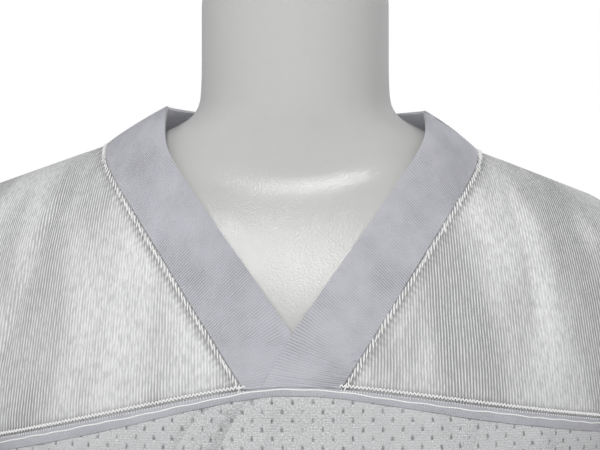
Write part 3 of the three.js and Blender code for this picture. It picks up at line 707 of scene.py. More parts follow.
def bumped(nodes, shader, height, distance, strength=1.0, sockets=("Normal",)):
    bump = nodes.add("ShaderNodeBump", {"Height": height, "Distance": distance,
                                        "Strength": strength})
    for socket in sockets:
        nodes.tree.links.new(bump.outputs["Normal"], shader.inputs[socket])


def dazzle_material(groups, look):
    """Shiny warp knit: fine upright ribs that catch the light, with painted shade in their valleys,
    painted shade of puckers along the neck seam and a painted shadow in the groove above the yoke
    seam.
    """
    material, nodes, shader = new_material("white_dazzle_cloth", Metallic=0.12)
    thread = nodes.add("ShaderNodeUVMap", uv_map="thread").outputs["UV"]
    ribs = nodes.add("ShaderNodeGroup", {}, node_tree=groups["ribs"])
    nodes.tree.links.new(thread, ribs.inputs["Thread"])
    ribs.inputs["Pitch"].default_value = look.rib_pitch
    seam = nodes.add("ShaderNodeUVMap", uv_map="seam").outputs["UV"]
    split = nodes.add("ShaderNodeSeparateXYZ", {"Vector": seam}).outputs
    near = nodes.range(split["Y"], 0.0110, 0.0020)
    strong = nodes.math("MAXIMUM", ribs.outputs["Patch"], near)
    depth = nodes.math("MULTIPLY", ribs.outputs["Rib"], strong)
    bumped(nodes, shader, depth, 0.0005, 1.0)
    # Painted shade: the valleys between the ribs are darkened in the colour, most where the ribs
    # are strong and near the neck seam.
    valley_shade = nodes.math("MULTIPLY", nodes.math("SUBTRACT", 1.0, ribs.outputs["Rib"]), strong)
    cloth = nodes.blend(valley_shade, rgba(look.dazzle_colour), rgba(look.dazzle_colour, 0.32))
    # Painted shade of puckers: dark scallops are put in the colour along the neck seam.
    pucker_shade = nodes.math("SUBTRACT", 1.0, nodes.wave(split["X"], 0.0038))
    cloth = nodes.blend(nodes.math("MULTIPLY", nodes.math("MULTIPLY", near, pucker_shade), 0.55), cloth,
                        rgba(look.dazzle_colour, 0.30))
    # Painted shadow: the cloth is darkened in the groove just above the yoke seam, under the
    # zigzag.
    up = nodes.math("MULTIPLY", nodes.add("ShaderNodeSeparateXYZ", {"Vector": thread}).outputs["Y"],
                    -1.0)
    groove_shade = nodes.range(up, 0.0068, 0.0022)
    cloth = nodes.blend(nodes.math("MULTIPLY", groove_shade, 0.42), cloth, rgba(look.dazzle_colour, 0.30))
    cloud = nodes.noise(thread, 22.0, 3.0)
    cloth = nodes.blend(nodes.range(cloud, 0.35, 0.7, 0.0, 0.12), cloth,
                        rgba(look.dazzle_colour, 0.7))
    streak = nodes.add("ShaderNodeVectorMath", {0: thread, 1: (1.0, 0.22, 1.0)},
                       operation="MULTIPLY").outputs[0]
    spark = nodes.noise(streak, 620.0, 2.0, 0.6)
    cloth = nodes.blend(nodes.range(spark, 0.36, 0.58, 0.42, 0.0), cloth,
                        rgba(look.dazzle_colour, 0.45))
    nodes.tree.links.new(cloth, shader.inputs["Base Color"])
    rough = nodes.range(ribs.outputs["Rib"], 0.0, 1.0, 0.62, 0.48)
    nodes.tree.links.new(rough, shader.inputs["Roughness"])
    return material


def mesh_material(groups, look):
    """Matte porthole mesh: a fine knit with staggered slits that go right through, with painted
    shade round each slit and a painted highlight on the lip below it.
    """
    material, nodes, shader = new_material("white_porthole_mesh", Sheen_Weight=0.15,
                                           Sheen_Roughness=0.5)
    thread = nodes.add("ShaderNodeUVMap", uv_map="thread").outputs["UV"]
    slits = nodes.add("ShaderNodeGroup", {}, node_tree=groups["slits"])
    grain = nodes.add("ShaderNodeGroup", {}, node_tree=groups["grain"])
    for group in (slits, grain):
        nodes.tree.links.new(thread, group.inputs["Thread"])
    slits.inputs["Spacing"].default_value = look.hole_spacing
    slits.inputs["Row"].default_value = look.hole_row
    slits.inputs["Width"].default_value = 0.0010
    slits.inputs["Height"].default_value = 0.0026
    grain.inputs["Course"].default_value = 0.0016
    grain.inputs["Wale"].default_value = 0.0013
    weave = nodes.math("ADD", nodes.math("MULTIPLY", grain.outputs["Courses"], 0.5),
                       nodes.math("MULTIPLY", grain.outputs["Wales"], 0.3))
    weave = nodes.math("MULTIPLY_ADD", grain.outputs["Fibre"], 0.6, weave)
    dip = nodes.math("MULTIPLY_ADD", slits.outputs["Rim"], -2.2, weave)
    height = nodes.math("MULTIPLY_ADD", slits.outputs["Lip"], 1.2, dip)
    bumped(nodes, shader, height, 0.0004, 0.9)
    worn = nodes.range(grain.outputs["Fibre"], 0.35, 0.65)
    cloth = nodes.blend(worn, rgba(look.mesh_colour, 0.60), rgba(look.mesh_colour))
    row = nodes.math("MULTIPLY", grain.outputs["Courses"],
                     nodes.range(grain.outputs["Cloud"], 0.3, 0.6))
    cloth = nodes.blend(nodes.math("MULTIPLY", row, 0.28), cloth, rgba(look.mesh_colour, 0.55))
    cloth = nodes.blend(nodes.range(grain.outputs["Cloud"], 0.4, 0.62, 0.0, 0.55), cloth,
                        rgba(look.mesh_colour, 0.80))
    # Painted shade: the dent round each slit is darkened in the colour; the bump dips there too.
    cloth = nodes.blend(nodes.math("MULTIPLY", slits.outputs["Rim"], 0.42), cloth,
                        rgba(look.mesh_colour, 0.45))
    # Painted highlight: the lip under each slit is lightened towards white; the bump raises it too.
    cloth = nodes.blend(nodes.math("MULTIPLY", slits.outputs["Lip"], 0.7), cloth,
                        rgba((1.0, 1.0, 1.0), 0.95))
    nodes.tree.links.new(cloth, shader.inputs["Base Color"])
    nodes.tree.links.new(nodes.range(grain.outputs["Courses"], 0, 1, 0.85, 0.7),
                         shader.inputs["Roughness"])
    open_share = nodes.math("MULTIPLY", slits.outputs["Hole"], 0.50)
    nodes.tree.links.new(nodes.math("SUBTRACT", 1.0, open_share), shader.inputs["Alpha"])
    return material


def rib_knit_material(groups, look, name, share, furrow_shade_share):
    """Matte flat knit of the neck band and the tapes, with courses across its length and painted
    shade in the furrows between them.
    """
    material, nodes, shader = new_material(name, Sheen_Weight=0.1, Sheen_Roughness=0.6,
                                           Subsurface_Weight=0.08, Subsurface_Scale=0.002,
                                           Subsurface_Radius=(1.0, 1.0, 1.0))
    colour = [channel * share for channel in look.knit_colour]
    thread = nodes.add("ShaderNodeUVMap", uv_map="thread").outputs["UV"]
    grain = nodes.add("ShaderNodeGroup", {}, node_tree=groups["grain"])
    nodes.tree.links.new(thread, grain.inputs["Thread"])
    grain.inputs["Course"].default_value = look.course_pitch
    grain.inputs["Wale"].default_value = 0.0011
    patch = nodes.range(grain.outputs["Cloud"], 0.35, 0.65, 0.25, 1.0)
    courses = nodes.math("MULTIPLY", grain.outputs["Courses"], patch)
    height = nodes.math("ADD", nodes.math("MULTIPLY", courses, 0.8),
                        nodes.math("MULTIPLY", grain.outputs["Wales"], 0.18))
    height = nodes.math("MULTIPLY_ADD", grain.outputs["Fibre"], 0.7, height)
    bumped(nodes, shader, height, 0.00036, 0.9)
    # Painted shade: the furrows between the courses are darkened in the colour.
    furrow_shade = nodes.math("MULTIPLY", nodes.math("SUBTRACT", 1.0, grain.outputs["Courses"]), patch)
    cloth = nodes.blend(furrow_shade, rgba(colour), rgba(colour, furrow_shade_share))
    fibres = nodes.range(grain.outputs["Fibre"], 0.35, 0.65, 0.0, 0.45)
    cloth = nodes.blend(fibres, cloth, rgba(colour, 0.8))
    nodes.tree.links.new(cloth, shader.inputs["Base Color"])
    nodes.tree.links.new(nodes.range(grain.outputs["Fibre"], 0.3, 0.7, 0.95, 0.8),
                         shader.inputs["Roughness"])
    return material


def thread_material(look):
    """Bright twisted sewing thread."""
    material, nodes, shader = new_material("white_sewing_thread", Sheen_Weight=0.2, Roughness=0.55)
    place = nodes.add("ShaderNodeTexCoord").outputs["Object"]
    twist = nodes.noise(place, 2600.0, 2.0)
    bumped(nodes, shader, twist, 0.0001, 0.6)
    cloth = nodes.blend(nodes.range(twist, 0.3, 0.7), rgba(look.thread_colour, 0.86),
                        rgba(look.thread_colour))
    nodes.tree.links.new(cloth, shader.inputs["Base Color"])
    return material


def form_material(look):
    """Satin moulded plastic with a fine grain that breaks up its highlight."""
    material, nodes, shader = new_material("satin_white_plastic", Coat_Weight=0.9,
                                           Coat_Roughness=0.16,
                                           Specular_IOR_Level=0.15)
    place = nodes.add("ShaderNodeTexCoord").outputs["Object"]
    grain = nodes.noise(place, 760.0, 2.0, 0.6)
    peel = nodes.noise(place, 46.0, 2.0)
    height = nodes.math("MULTIPLY_ADD", peel, 0.9, nodes.math("MULTIPLY", grain, 1.0))
    bumped(nodes, shader, height, 0.00016, 1.0, ("Normal", "Coat Normal"))
    tint = nodes.range(nodes.noise(place, 7.0, 3.0), 0.35, 0.7, 0.0, 0.5)
    paint = nodes.blend(tint, rgba(look.form_colour), rgba(look.form_colour, 0.95))
    nodes.tree.links.new(paint, shader.inputs["Base Color"])
    nodes.tree.links.new(nodes.range(grain, 0.3, 0.7, 0.30, 0.46), shader.inputs["Roughness"])
    return material


def steel_material():
    """Satin plated steel, brushed round its axis."""
    material, nodes, shader = new_material("satin_plated_steel", Metallic=1.0)
    place = nodes.add("ShaderNodeTexCoord").outputs["Object"]
    flat = nodes.add("ShaderNodeVectorMath", {0: place, 1: (40.0, 40.0, 2200.0)},
                     operation="MULTIPLY").outputs[0]
    brushed = nodes.noise(flat, 1.0, 3.0)
    smudge = nodes.noise(place, 18.0, 4.0)
    steel = nodes.blend(nodes.range(smudge, 0.3, 0.7), rgba((0.60, 0.60, 0.61)),
                        rgba((0.70, 0.70, 0.71)))
    nodes.tree.links.new(steel, shader.inputs["Base Color"])
    rough = nodes.math("MULTIPLY_ADD", brushed, 0.12, nodes.math("MULTIPLY_ADD", smudge, 0.1, 0.18))
    nodes.tree.links.new(rough, shader.inputs["Roughness"])
    bumped(nodes, shader, brushed, 0.00004, 0.3)
    return material


def finishes():
    """The materials by name, made on the first call."""
    if not FINISHES:
        look = bpy.context.scene.jersey_look
        groups = {"ribs": rib_group(), "slits": slit_group(), "grain": grain_group()}
        FINISHES["dazzle"] = dazzle_material(groups, look)
        FINISHES["mesh"] = mesh_material(groups, look)
        FINISHES["rib"] = rib_knit_material(groups, look, "cool_white_flat_knit", 1.04, 0.50)
        # Painted light: the band's inside takes the knit at 1.75 times its colour, in place of the
        # light that reaches into the collar.
        FINISHES["rib_inside"] = rib_knit_material(groups, look, "cool_white_flat_knit_inside_painted_light",
                                                   1.75, 0.8)
        FINISHES["tape"] = rib_knit_material(groups, look, "cool_white_seam_tape", 0.96, 0.84)
        FINISHES["thread"] = thread_material(look)
        FINISHES["form"] = form_material(look)
        FINISHES["steel"] = steel_material()
    return FINISHES


FINISHES = {}

# ---------------------------------------------------------------------------------------------
# Stitches, made by Geometry Nodes along a guide line on the cloth
# ---------------------------------------------------------------------------------------------


# Pitch, length and thickness of each kind of stitch, how far its even and odd stitches lean off the
# seam, how loose they are, and the seed.
STITCH_FIELDS = ("pitch", "length", "thickness", "lean", "looseness", "seed")
STITCHES = {kind: dict(zip(STITCH_FIELDS, row)) for kind, row in {
    "zigzag": (0.0012, 0.0029, 0.0010, (1.08, -1.08), 0.06, 3),
    "leg": (0.0018, 0.0020, 0.0004, (1.45, 1.45), 0.06, 3),
    "hook_right": (0.0036, 0.0082, 0.0011, (-0.45, -0.45), 0.20, 5),
    "hook_left": (0.0036, 0.0082, 0.0011, (0.45, 0.45), 0.20, 5),
    "back_neck": (0.0021, 0.0024, 0.0007, (0.7, 0.7), 0.2, 9),
    "hem": (0.0030, 0.0024, 0.0006, (0.0, 0.0), 0.05, 11),
    "cuff": (0.0030, 0.0024, 0.0006, (0.0, 0.0), 0.05, 13),
}.items()}


def stitch_tree():
    """Bodkin-shaped stitches at even steps on a guide, leaning one way and the other in turn."""
    tree = bpy.data.node_groups.new("stitch_run", "GeometryNodeTree")
    face = tree.interface.new_socket
    face("Geometry", in_out="INPUT", socket_type="NodeSocketGeometry")
    for label, default in (("Pitch", 0.001), ("Length", 0.002), ("Thickness", 0.0005),
                           ("Lean Even", 0.0), ("Lean Odd", 0.0), ("Looseness", 0.1)):
        face(label, in_out="INPUT", socket_type="NodeSocketFloat").default_value = default
    face("Seed", in_out="INPUT", socket_type="NodeSocketInt").default_value = 3
    face("Thread", in_out="INPUT", socket_type="NodeSocketMaterial")
    face("Geometry", in_out="OUTPUT", socket_type="NodeSocketGeometry")
    nodes = Nodes(tree)
    given = nodes.add("NodeGroupInput").outputs
    curve = nodes.add("GeometryNodeMeshToCurve", {"Mesh": given["Geometry"]}).outputs["Curve"]
    steps = nodes.add("GeometryNodeResampleCurve", {"Curve": curve, "Length": given["Pitch"]},
                      mode="LENGTH")
    up = nodes.add("GeometryNodeInputNamedAttribute", {"Name": "up"}, data_type="FLOAT_VECTOR")
    tangent = nodes.add("GeometryNodeInputTangent").outputs[0]
    aim = nodes.add("FunctionNodeAxesToRotation", primary_axis="Z", secondary_axis="X")
    tree.links.new(up.outputs["Attribute"], aim.inputs[0])
    tree.links.new(tangent, aim.inputs[1])
    index = nodes.add("GeometryNodeInputIndex").outputs[0]
    odd = nodes.math("MODULO", index, 2.0)
    spread = nodes.math("SUBTRACT", given["Lean Odd"], given["Lean Even"])
    lean = nodes.math("MULTIPLY_ADD", odd, spread, given["Lean Even"])
    loose = nodes.add("FunctionNodeRandomValue", data_type="FLOAT")
    low = nodes.math("MULTIPLY", given["Looseness"], -1.0)
    for label, value in (("Min", low), ("Max", given["Looseness"]), ("Seed", given["Seed"])):
        socket = [s for s in loose.inputs if s.name == label and s.enabled][0]
        tree.links.new(value, socket)
    shake = [s for s in loose.outputs if s.enabled][0]
    angle = nodes.add("ShaderNodeCombineXYZ", {"Z": nodes.math("ADD", lean, shake)}).outputs[0]
    turned = nodes.add("FunctionNodeRotateRotation", rotation_space="LOCAL")
    tree.links.new(aim.outputs[0], turned.inputs[0])
    tree.links.new(angle, turned.inputs[1])
    bead = nodes.add("GeometryNodeMeshUVSphere", {"Segments": 6, "Rings": 4,
                                                  "Radius": 0.5}).outputs["Mesh"]
    size = nodes.add("ShaderNodeCombineXYZ", {"X": given["Length"], "Y": given["Thickness"],
                                              "Z": given["Thickness"]}).outputs[0]
    stitch = nodes.add("GeometryNodeTransform", {"Geometry": bead, "Scale": size}).outputs[0]
    grow = nodes.math("ADD", nodes.math("MULTIPLY", shake, 0.6), 1.0)
    run = nodes.add("GeometryNodeInstanceOnPoints", {"Points": steps.outputs[0], "Instance": stitch,
                                                     "Rotation": turned.outputs[0], "Scale": grow})
    real = nodes.add("GeometryNodeRealizeInstances", {"Geometry": run.outputs[0]}).outputs[0]
    shaded = nodes.add("GeometryNodeSetShadeSmooth", {"Geometry": real}).outputs[0]
    done = nodes.add("GeometryNodeSetMaterial", {"Geometry": shaded,
                                                 "Material": given["Thread"]}).outputs[0]
    nodes.add("NodeGroupOutput", {"Geometry": done})
    return tree


def sew(name, guides, kind):
    """Stitch along guide lines, each a pair of point and normal arrays. The mesh is plain."""
    stitch = STITCHES[kind]
    tree = bpy.data.node_groups.get("stitch_run") or stitch_tree()
    verts, ups, edges, start = [], [], [], 0
    for line, normal in guides:
        verts.extend(line.tolist())
        ups.append(normal)
        edges.extend((start + i, start + i + 1) for i in range(len(line) - 1))
        start += len(line)
    mesh = bpy.data.meshes.new(name + "_guide")
    mesh.from_pydata(verts, edges, [])
    attribute = mesh.attributes.new("up", "FLOAT_VECTOR", "POINT")
    attribute.data.foreach_set("vector", np.concatenate(ups).ravel())
    guide = put(name + "_guide", mesh)
    modifier = guide.modifiers.new("stitches", "NODES")
    modifier.node_group = tree
    finish = finishes()["thread"]
    values = {"Pitch": stitch["pitch"], "Length": stitch["length"],
              "Thickness": stitch["thickness"], "Lean Even": stitch["lean"][0],
              "Lean Odd": stitch["lean"][1], "Looseness": stitch["looseness"],
              "Seed": stitch["seed"], "Thread": finish}
    for item in tree.interface.items_tree:
        if item.in_out == "INPUT" and item.name in values:
            modifier[item.identifier] = values[item.name]
    return plain_copy(name, guide, finish)


def plain_copy(name, source, finish):
    """The evaluated object as a plain mesh; the source and its modifiers are removed."""
    bpy.context.view_layer.update()
    graph = bpy.context.evaluated_depsgraph_get()
    mesh = bpy.data.meshes.new_from_object(source.evaluated_get(graph))
    mesh.name = name
    bpy.data.objects.remove(source)
    if not len(mesh.polygons):
        raise RuntimeError(name + " came out empty")
    return put(name, mesh, finish)


def cord_mesh(name, line, normal, radius, material="thread", sides=8):
    """A closed thin round cord along a line on the cloth."""
    along = np.gradient(line, axis=0)
    along /= np.linalg.norm(along, axis=1, keepdims=True)
    side = np.cross(along, normal)
    angle = np.linspace(0, 2 * math.pi, sides, endpoint=False)
    rings = (line[:, None, :] + radius * (np.cos(angle)[None, :, None] * normal[:, None, :]
                                          + np.sin(angle)[None, :, None] * side[:, None, :]))
    return put(name, loft_mesh(name, rings, math.radians(80)), finishes()[material])


# ---------------------------------------------------------------------------------------------
# The panels
# ---------------------------------------------------------------------------------------------


def arc_below_ridge(level):
    """Distance down the cloth from the shoulder line at a level of the chest."""
    steps = np.linspace(0, 1, 200)
    turn = steps * HALF_PI
    speed = np.hypot(0.125 * np.cos(turn), CHEST_FALL * np.sin(turn)) * HALF_PI
    arc = np.concatenate([[0], np.cumsum((speed[1:] + speed[:-1]) / 2 * np.diff(steps))])
    panel = below(level) * (APEX_Z - CHEST_FALL - HEM_Z)
    return np.interp(np.minimum(level, 1), steps, arc) + panel


def rib_place(x, above_seam, fan=1.2, centre=0.070):
    """Where a rib meets the yoke seam: the ribs draw together a little towards the shoulder."""
    spread = 1 - fan * above_seam
    side = x / np.hypot(x, 0.020)
    return (x - side * centre * fan * above_seam) / spread


def yoke_relief(above_seam):
    """The yoke dips just above its lower seam and rises again to the stitches."""
    dip = -0.0008 * bell((above_seam - 0.0050) / 0.0028)
    return dip - 0.0004 * bell((above_seam - 0.0015) / 0.0016)


def yoke_maps(face, x, level, seam_run, seam_away):
    above = arc_below_ridge(SEAM[face]) - arc_below_ridge(level)
    thread = np.stack(np.broadcast_arrays(rib_place(x, above), -above), -1)
    seam = np.stack(np.broadcast_arrays(seam_run, seam_away), -1)
    return {"thread": thread, "seam": seam}, above


def panel_shell(name, face, across, level, wall, maps, relief, material):
    grid_in = draped_point(face, across, level, 0.0)
    grid_out = draped_point(face, across, level, wall + relief)
    if face == "back":
        grid_in, grid_out = grid_in[:, ::-1], grid_out[:, ::-1]
        maps = {label: uv[:, ::-1] for label, uv in maps.items()}
    mesh = shell_mesh(name, grid_in, grid_out, maps)
    return put(name, mesh, finishes()[material])


def front_yoke(sign, name, columns=110, rows=120):
    last = SEAM["front"] - level_step(SEAM["front"], GAP / 2)
    level = last * np.linspace(0, 1, rows)[:, None] ** 0.9
    neck = across_at("front", sign * neck_edge_at(sign, level), level)
    share = np.linspace(0, 1, columns)[None, :]
    across = mix(neck, float(sign), share)
    level = np.broadcast_to(level, across.shape)
    plain = plain_point("front", across, level)
    x, z = plain[..., 0], plain[..., 2]
    away = (np.abs(x) - outer_half_at(z)) * 0.84
    run = 0.545 * np.abs(x) + 0.839 * z
    maps, above = yoke_maps("front", x, level, run, away)
    ruffle = 0.0003 * np.sin(run * 2 * math.pi / 0.0093) * bell((away - 0.004) / 0.004)
    relief = yoke_relief(above) - 0.0007 * bell((away - 0.0075) / 0.004)
    relief = relief + 0.0004 * bell(away / 0.003) + ruffle
    if sign < 0:
        across, level, relief = across[:, ::-1], level[:, ::-1], relief[:, ::-1]
        maps = {label: uv[:, ::-1] for label, uv in maps.items()}
    return panel_shell(name, "front", across, level, WALL["dazzle"], maps, relief, "dazzle")


def back_yoke(name, columns=201, rows=110):
    last = SEAM["back"] - level_step(SEAM["back"], GAP / 2)
    across = np.linspace(-1, 1, columns)
    sign = np.where(across < 0, -1, 1)
    neck_share = 0.5
    turn = HALF_PI * (1 - np.abs(across) / neck_share)
    top_across = np.empty(columns)
    top_level = np.zeros(columns)
    for side in (-1, 1):
        under = (sign == side) & (np.abs(across) < neck_share)
        x, y = back_outer_plan(side, turn[under])
        top_level[under] = level_at_depth("back", x, y)
        top_across[under] = across_at("back", x, top_level[under])
        rest = (sign == side) & ~under
        neck = float(across_at("back", np.array(side * outer_half_at(shoulder_z(side))),
                               np.array(0.0)))
        top_across[rest] = mix(neck, side, (np.abs(across[rest]) - neck_share) / (1 - neck_share))
    t = np.linspace(0, 1, rows)[:, None]
    level = mix(top_level[None, :], last, t)
    places = mix(top_across[None, :], across[None, :], t)
    plain = plain_point("back", places, level)
    x = plain[..., 0]
    maps, above = yoke_maps("back", x, level, x * 0, x * 0 + FAR_FROM_SEAM)
    return panel_shell(name, "back", places, level, WALL["dazzle"], maps, yoke_relief(above),
                       "dazzle")


def tape_width_at(across):
    return mix(TAPE_MIDDLE, TAPE_SIDE, ease(np.abs(across) / 0.45))


def tape(face, name, columns=260, rows=9):
    seam = SEAM[face]
    across = np.linspace(-1, 1, columns)[None, :]
    width = tape_width_at(across)
    t = np.linspace(0, 1, rows)[:, None]
    first = seam + level_step(seam, GAP / 2)
    last = seam + level_step(seam, 1) * (width - GAP / 2)
    level = mix(first, last, t)
    across = np.broadcast_to(across, level.shape)
    girth = across * PANEL_HALF_GIRTH
    maps = {"thread": np.stack([t * width, girth], -1)}
    ripple = 0.00018 * np.sin(girth * 2 * math.pi / 0.017 + 2 * np.sin(girth * 40))
    relief = (0.0007 + ripple) * np.sin(math.pi * t) - 0.0002
    return panel_shell(name, face, across, level, WALL["tape"], maps, relief, "tape")


HOLE_SHIFT = (0.0013, 0.0040)  # sets the holes' rows against the yoke seam


def body(face, name, columns=200, rows=190):
    seam = SEAM[face]
    across = np.linspace(-1, 1, columns)[None, :]
    first = seam + level_step(seam, 1) * (tape_width_at(across) + GAP / 2)
    t = np.linspace(0, 1, rows)[:, None]
    level = mix(first, 2.0, t ** 1.08)
    across = np.broadcast_to(across, level.shape)
    plain = plain_point(face, across, level)
    steps = np.linalg.norm(np.diff(plain, axis=1), axis=-1)
    run = np.concatenate([np.zeros((rows, 1)), np.cumsum(steps, axis=1)], axis=1)
    run -= run[:, columns // 2][:, None]
    height = plain[..., 2]
    maps = {"thread": np.stack([run + HOLE_SHIFT[0], height + HOLE_SHIFT[1]], -1)}
    down = arc_below_ridge(level) - arc_below_ridge(first)
    hem = plain[..., 2] - HEM_Z
    relief = 0.0009 * bell((down - 0.007) / 0.006) + 0.0005 * ease((0.021 - hem) / 0.0012)
    relief = relief + gather_of(face, plain[..., 0], down)
    fine = 0.00045 * np.sin(run * 95 + 3 * np.sin(height * 30))
    fine = fine * np.sin(height * 70 + 2 * np.sin(run * 25))
    return panel_shell(name, face, across, level, WALL["mesh"], maps, relief + fine, "mesh")


# ---------------------------------------------------------------------------------------------
# The neck band
# ---------------------------------------------------------------------------------------------

BAND_COLUMNS = 26
BAND_CLIMB = (np.linspace(0, 1, 200) ** 1.35)[:-1]
BAND_TURN = np.linspace(0, HALF_PI, 60)


def band_grid(share):
    """The band's inside, one row across it at each step round the neckline."""
    share = share[None, :]
    climb = BAND_CLIMB[:, None]
    turn = BAND_TURN[:, None]
    return np.concatenate([
        front_band_point(-1, climb, share),
        back_band_point(-1, turn, share),
        back_band_point(1, turn[::-1][1:], share),
        front_band_point(1, climb[::-1], share),
    ])


def band_shell(name):
    share = np.linspace(0, 1, BAND_COLUMNS)
    grid = band_grid(share)
    middle = grid[:, BAND_COLUMNS // 2]
    run = np.concatenate([[0], np.cumsum(np.linalg.norm(np.diff(middle, axis=0), axis=1))])
    width = np.linalg.norm(grid[:, -1] - grid[:, 0], axis=1)
    across = share[None, :] * width[:, None]
    lap = ease((run - (run[-1] - 0.055)) / 0.03)[:, None]
    skew = np.where(run > run[-1] / 2, 1, -1)[:, None] * (across - 0.02) * 0.12
    along = run[:, None] + skew
    thread = np.stack(np.broadcast_arrays(across, along), -1)
    crown = 0.0011 * np.sin(math.pi * share[None, :]) ** 0.7
    uneven = 0.7 + 0.3 * np.sin(along * 310 + 5 * share[None, :])
    ripple = 0.00036 * uneven * np.sin(along * 2 * math.pi / 0.0027)
    ripple = ripple * lap * ease((1 - share[None, :]) / 0.2)
    fold = 0.00024 * np.sin(along * 60 + 4 * share[None, :])
    seam_top = APEX_Z - fall_of(SEAM["front"]) - drop_of(SEAM["front"], grid[..., 0])
    at_foot = (grid[..., 1] < 0) * (1 - ease((grid[..., 2] - seam_top) / 0.007))
    rise = (WALL["rib"] + crown + ripple + fold + 0.0002 * lap) * (1 - 0.5 * at_foot)
    inside = grid[:, ::-1]
    outside = raised(inside, rise[:, ::-1])
    mesh = shell_mesh(name, inside, outside, {"thread": thread[:, ::-1]})
    piece = put(name, mesh, finishes()["rib"])
    # The band's inner faces take the knit with painted light.
    mesh.materials.append(finishes()["rib_inside"])
    quads = (inside.shape[0] - 1) * (inside.shape[1] - 1)
    slots = np.zeros(len(mesh.polygons), dtype=np.int32)
    slots[quads:2 * quads] = 1
    mesh.polygons.foreach_set("material_index", slots)
    return piece


# ---------------------------------------------------------------------------------------------
# The sleeves
# ---------------------------------------------------------------------------------------------

CUFF_X = 0.263
CUFF_Z = 0.540
CUFF_HALF_X = 0.027
CUFF_HALF_Y = 0.090
CUFF_TILT = 0.010


def armhole_point(sign, turn):
    """Round the armhole from its top, down the front and up the back; turn runs from 0 to 1."""
    level = 1 - np.abs(1 - 2 * turn)
    front = draped_point("front", np.full(turn.shape, float(sign)), level)
    back = draped_point("back", np.full(turn.shape, float(sign)), level)
    return np.where((turn <= 0.5)[..., None], front, back)


def sleeve_grid(sign, turn, along):
    turn, t = np.broadcast_arrays(turn, along)
    angle = 2 * math.pi * turn
    under = (1 - np.cos(angle)) / 2
    out = points(sign * mix(0.5, 1, under), 0.0, -mix(0.87, 0.05, under))
    out /= np.linalg.norm(out, axis=-1, keepdims=True)
    start = armhole_point(sign, turn) + out * 0.0005
    start[..., 2] += 0.0018 * under ** 3
    end = points(
        sign * (CUFF_X + CUFF_HALF_X * np.cos(angle)),
        -CUFF_HALF_Y * np.sin(angle),
        CUFF_Z + CUFF_TILT * np.cos(angle),
    )
    length = np.linalg.norm(end - start, axis=-1)
    lead = (t ** 3 - 2 * t ** 2 + t) * np.minimum(length, 0.110)
    trail = (t ** 3 - t ** 2) * np.minimum(length, 0.090)
    grid = start * (2 * t ** 3 - 3 * t ** 2 + 1)[..., None] + out * lead[..., None]
    grid += end * (3 * t ** 2 - 2 * t ** 3)[..., None]
    grid[..., 2] -= trail
    grid[..., 0] += sign * 0.007 * np.sin(3 * angle + 0.6) * np.abs(np.sin(angle)) * ease(t)
    return grid


def sleeve_creases(angle, along):
    wide = 0.0022 * np.sin(4 * angle + 5 * along + 0.4)
    wide = wide * ease(along / 0.3) * ease((1 - along) / 0.15)
    fine = 0.0012 * np.sin(7 * angle - 4 * along + 1.9)
    return wide + fine * ease(along / 0.4) * ease((1 - along) / 0.2)


def cuff_line(sign, share):
    """Points and normals round a sleeve, on its outside, at a share of its length."""
    turn = np.linspace(0.001, 0.999, 420)[None, :]
    along = share + np.array([-0.01, 0.0, 0.01])[:, None]
    grid = sleeve_grid(sign, turn, along)
    normal = grid_normals(grid)[1] * -sign
    rise = sleeve_creases(2 * math.pi * turn, along)[1] + WALL["dazzle"] + 0.0009
    return grid[1] + normal * rise[:, None], normal


def sleeve(sign, name, around=168, rows=100):
    turn = np.linspace(0, 1, around, endpoint=False)[None, :]
    along = np.linspace(0, 1, rows)[:, None]
    grid = sleeve_grid(sign, turn, along)
    angle = 2 * math.pi * turn
    run = 0.40 * (turn - 0.5)
    down = 0.27 * along
    maps = {"thread": np.stack(np.broadcast_arrays(run, -down), -1),
            "seam": np.stack(np.broadcast_arrays(run * 0, down * 0 + FAR_FROM_SEAM), -1)}
    creases = sleeve_creases(angle, along)
    hem = 0.0006 * ease((down - 0.250) / 0.0012)
    relief = WALL["dazzle"] + 0.0006 * bell((down - 0.006) / 0.004) + hem
    order = slice(None) if sign < 0 else slice(None, None, -1)
    inside = raised(grid[:, order], creases[:, order], True)
    outside = raised(inside, relief[:, order] if relief.shape[1] > 1 else relief, True)
    maps = {label: uv[:, order] for label, uv in maps.items()}
    mesh = shell_mesh(name, inside, outside, maps, closed=True)
    return put(name, mesh, finishes()["dazzle"])


# ---------------------------------------------------------------------------------------------
# The form
# ---------------------------------------------------------------------------------------------

FORM_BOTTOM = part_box("form_torso")[0][2]
FORM_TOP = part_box("form_torso")[1][2]
FORM_COLUMNS = ("z", "half", "front", "back")
FORM_SECTIONS = np.array((
    (0.215, 0.158, 0.100, 0.104),
    (0.300, 0.164, 0.104, 0.112),
    (0.430, 0.142, 0.096, 0.092),
    (0.560, 0.160, 0.108, 0.100),
    (0.660, 0.180, 0.115, 0.106),
    (0.740, 0.198, 0.124, 0.116),
    (0.830, 0.207, 0.126, 0.118),
    (0.905, 0.204, 0.126, 0.118),
))
FORM_NECK = np.array((
    (0.800, 0.071, 0.058, 0.062),
    (0.878, 0.116, 0.056, 0.060),
    (0.893, 0.110, 0.056, 0.060),
    (0.899, 0.101, 0.056, 0.060),
    (0.904, 0.0915, 0.0565, 0.0605),
    (0.908, 0.0820, 0.0575, 0.0615),
    (0.912, 0.0740, 0.0585, 0.062),
    (0.916, 0.0685, 0.059, 0.0625),
    (0.921, 0.0654, 0.059, 0.0625),
    (0.930, 0.0640, 0.059, 0.0625),
    (0.946, 0.0635, 0.059, 0.0625),
    (1.000, 0.0635, 0.059, 0.0625),
))
NECK_X = 0.0018
ROUNDNESS = 2.3
SEAT_GAP = 0.0005
FORM_VOXEL = 0.0042
SKIN_ROUNDS = 2
ROOT_ROUNDS = 40
ROOT_HALF = 0.069
ROOT_DEPTH = 0.066
FOLD_ROOM = 0.0054
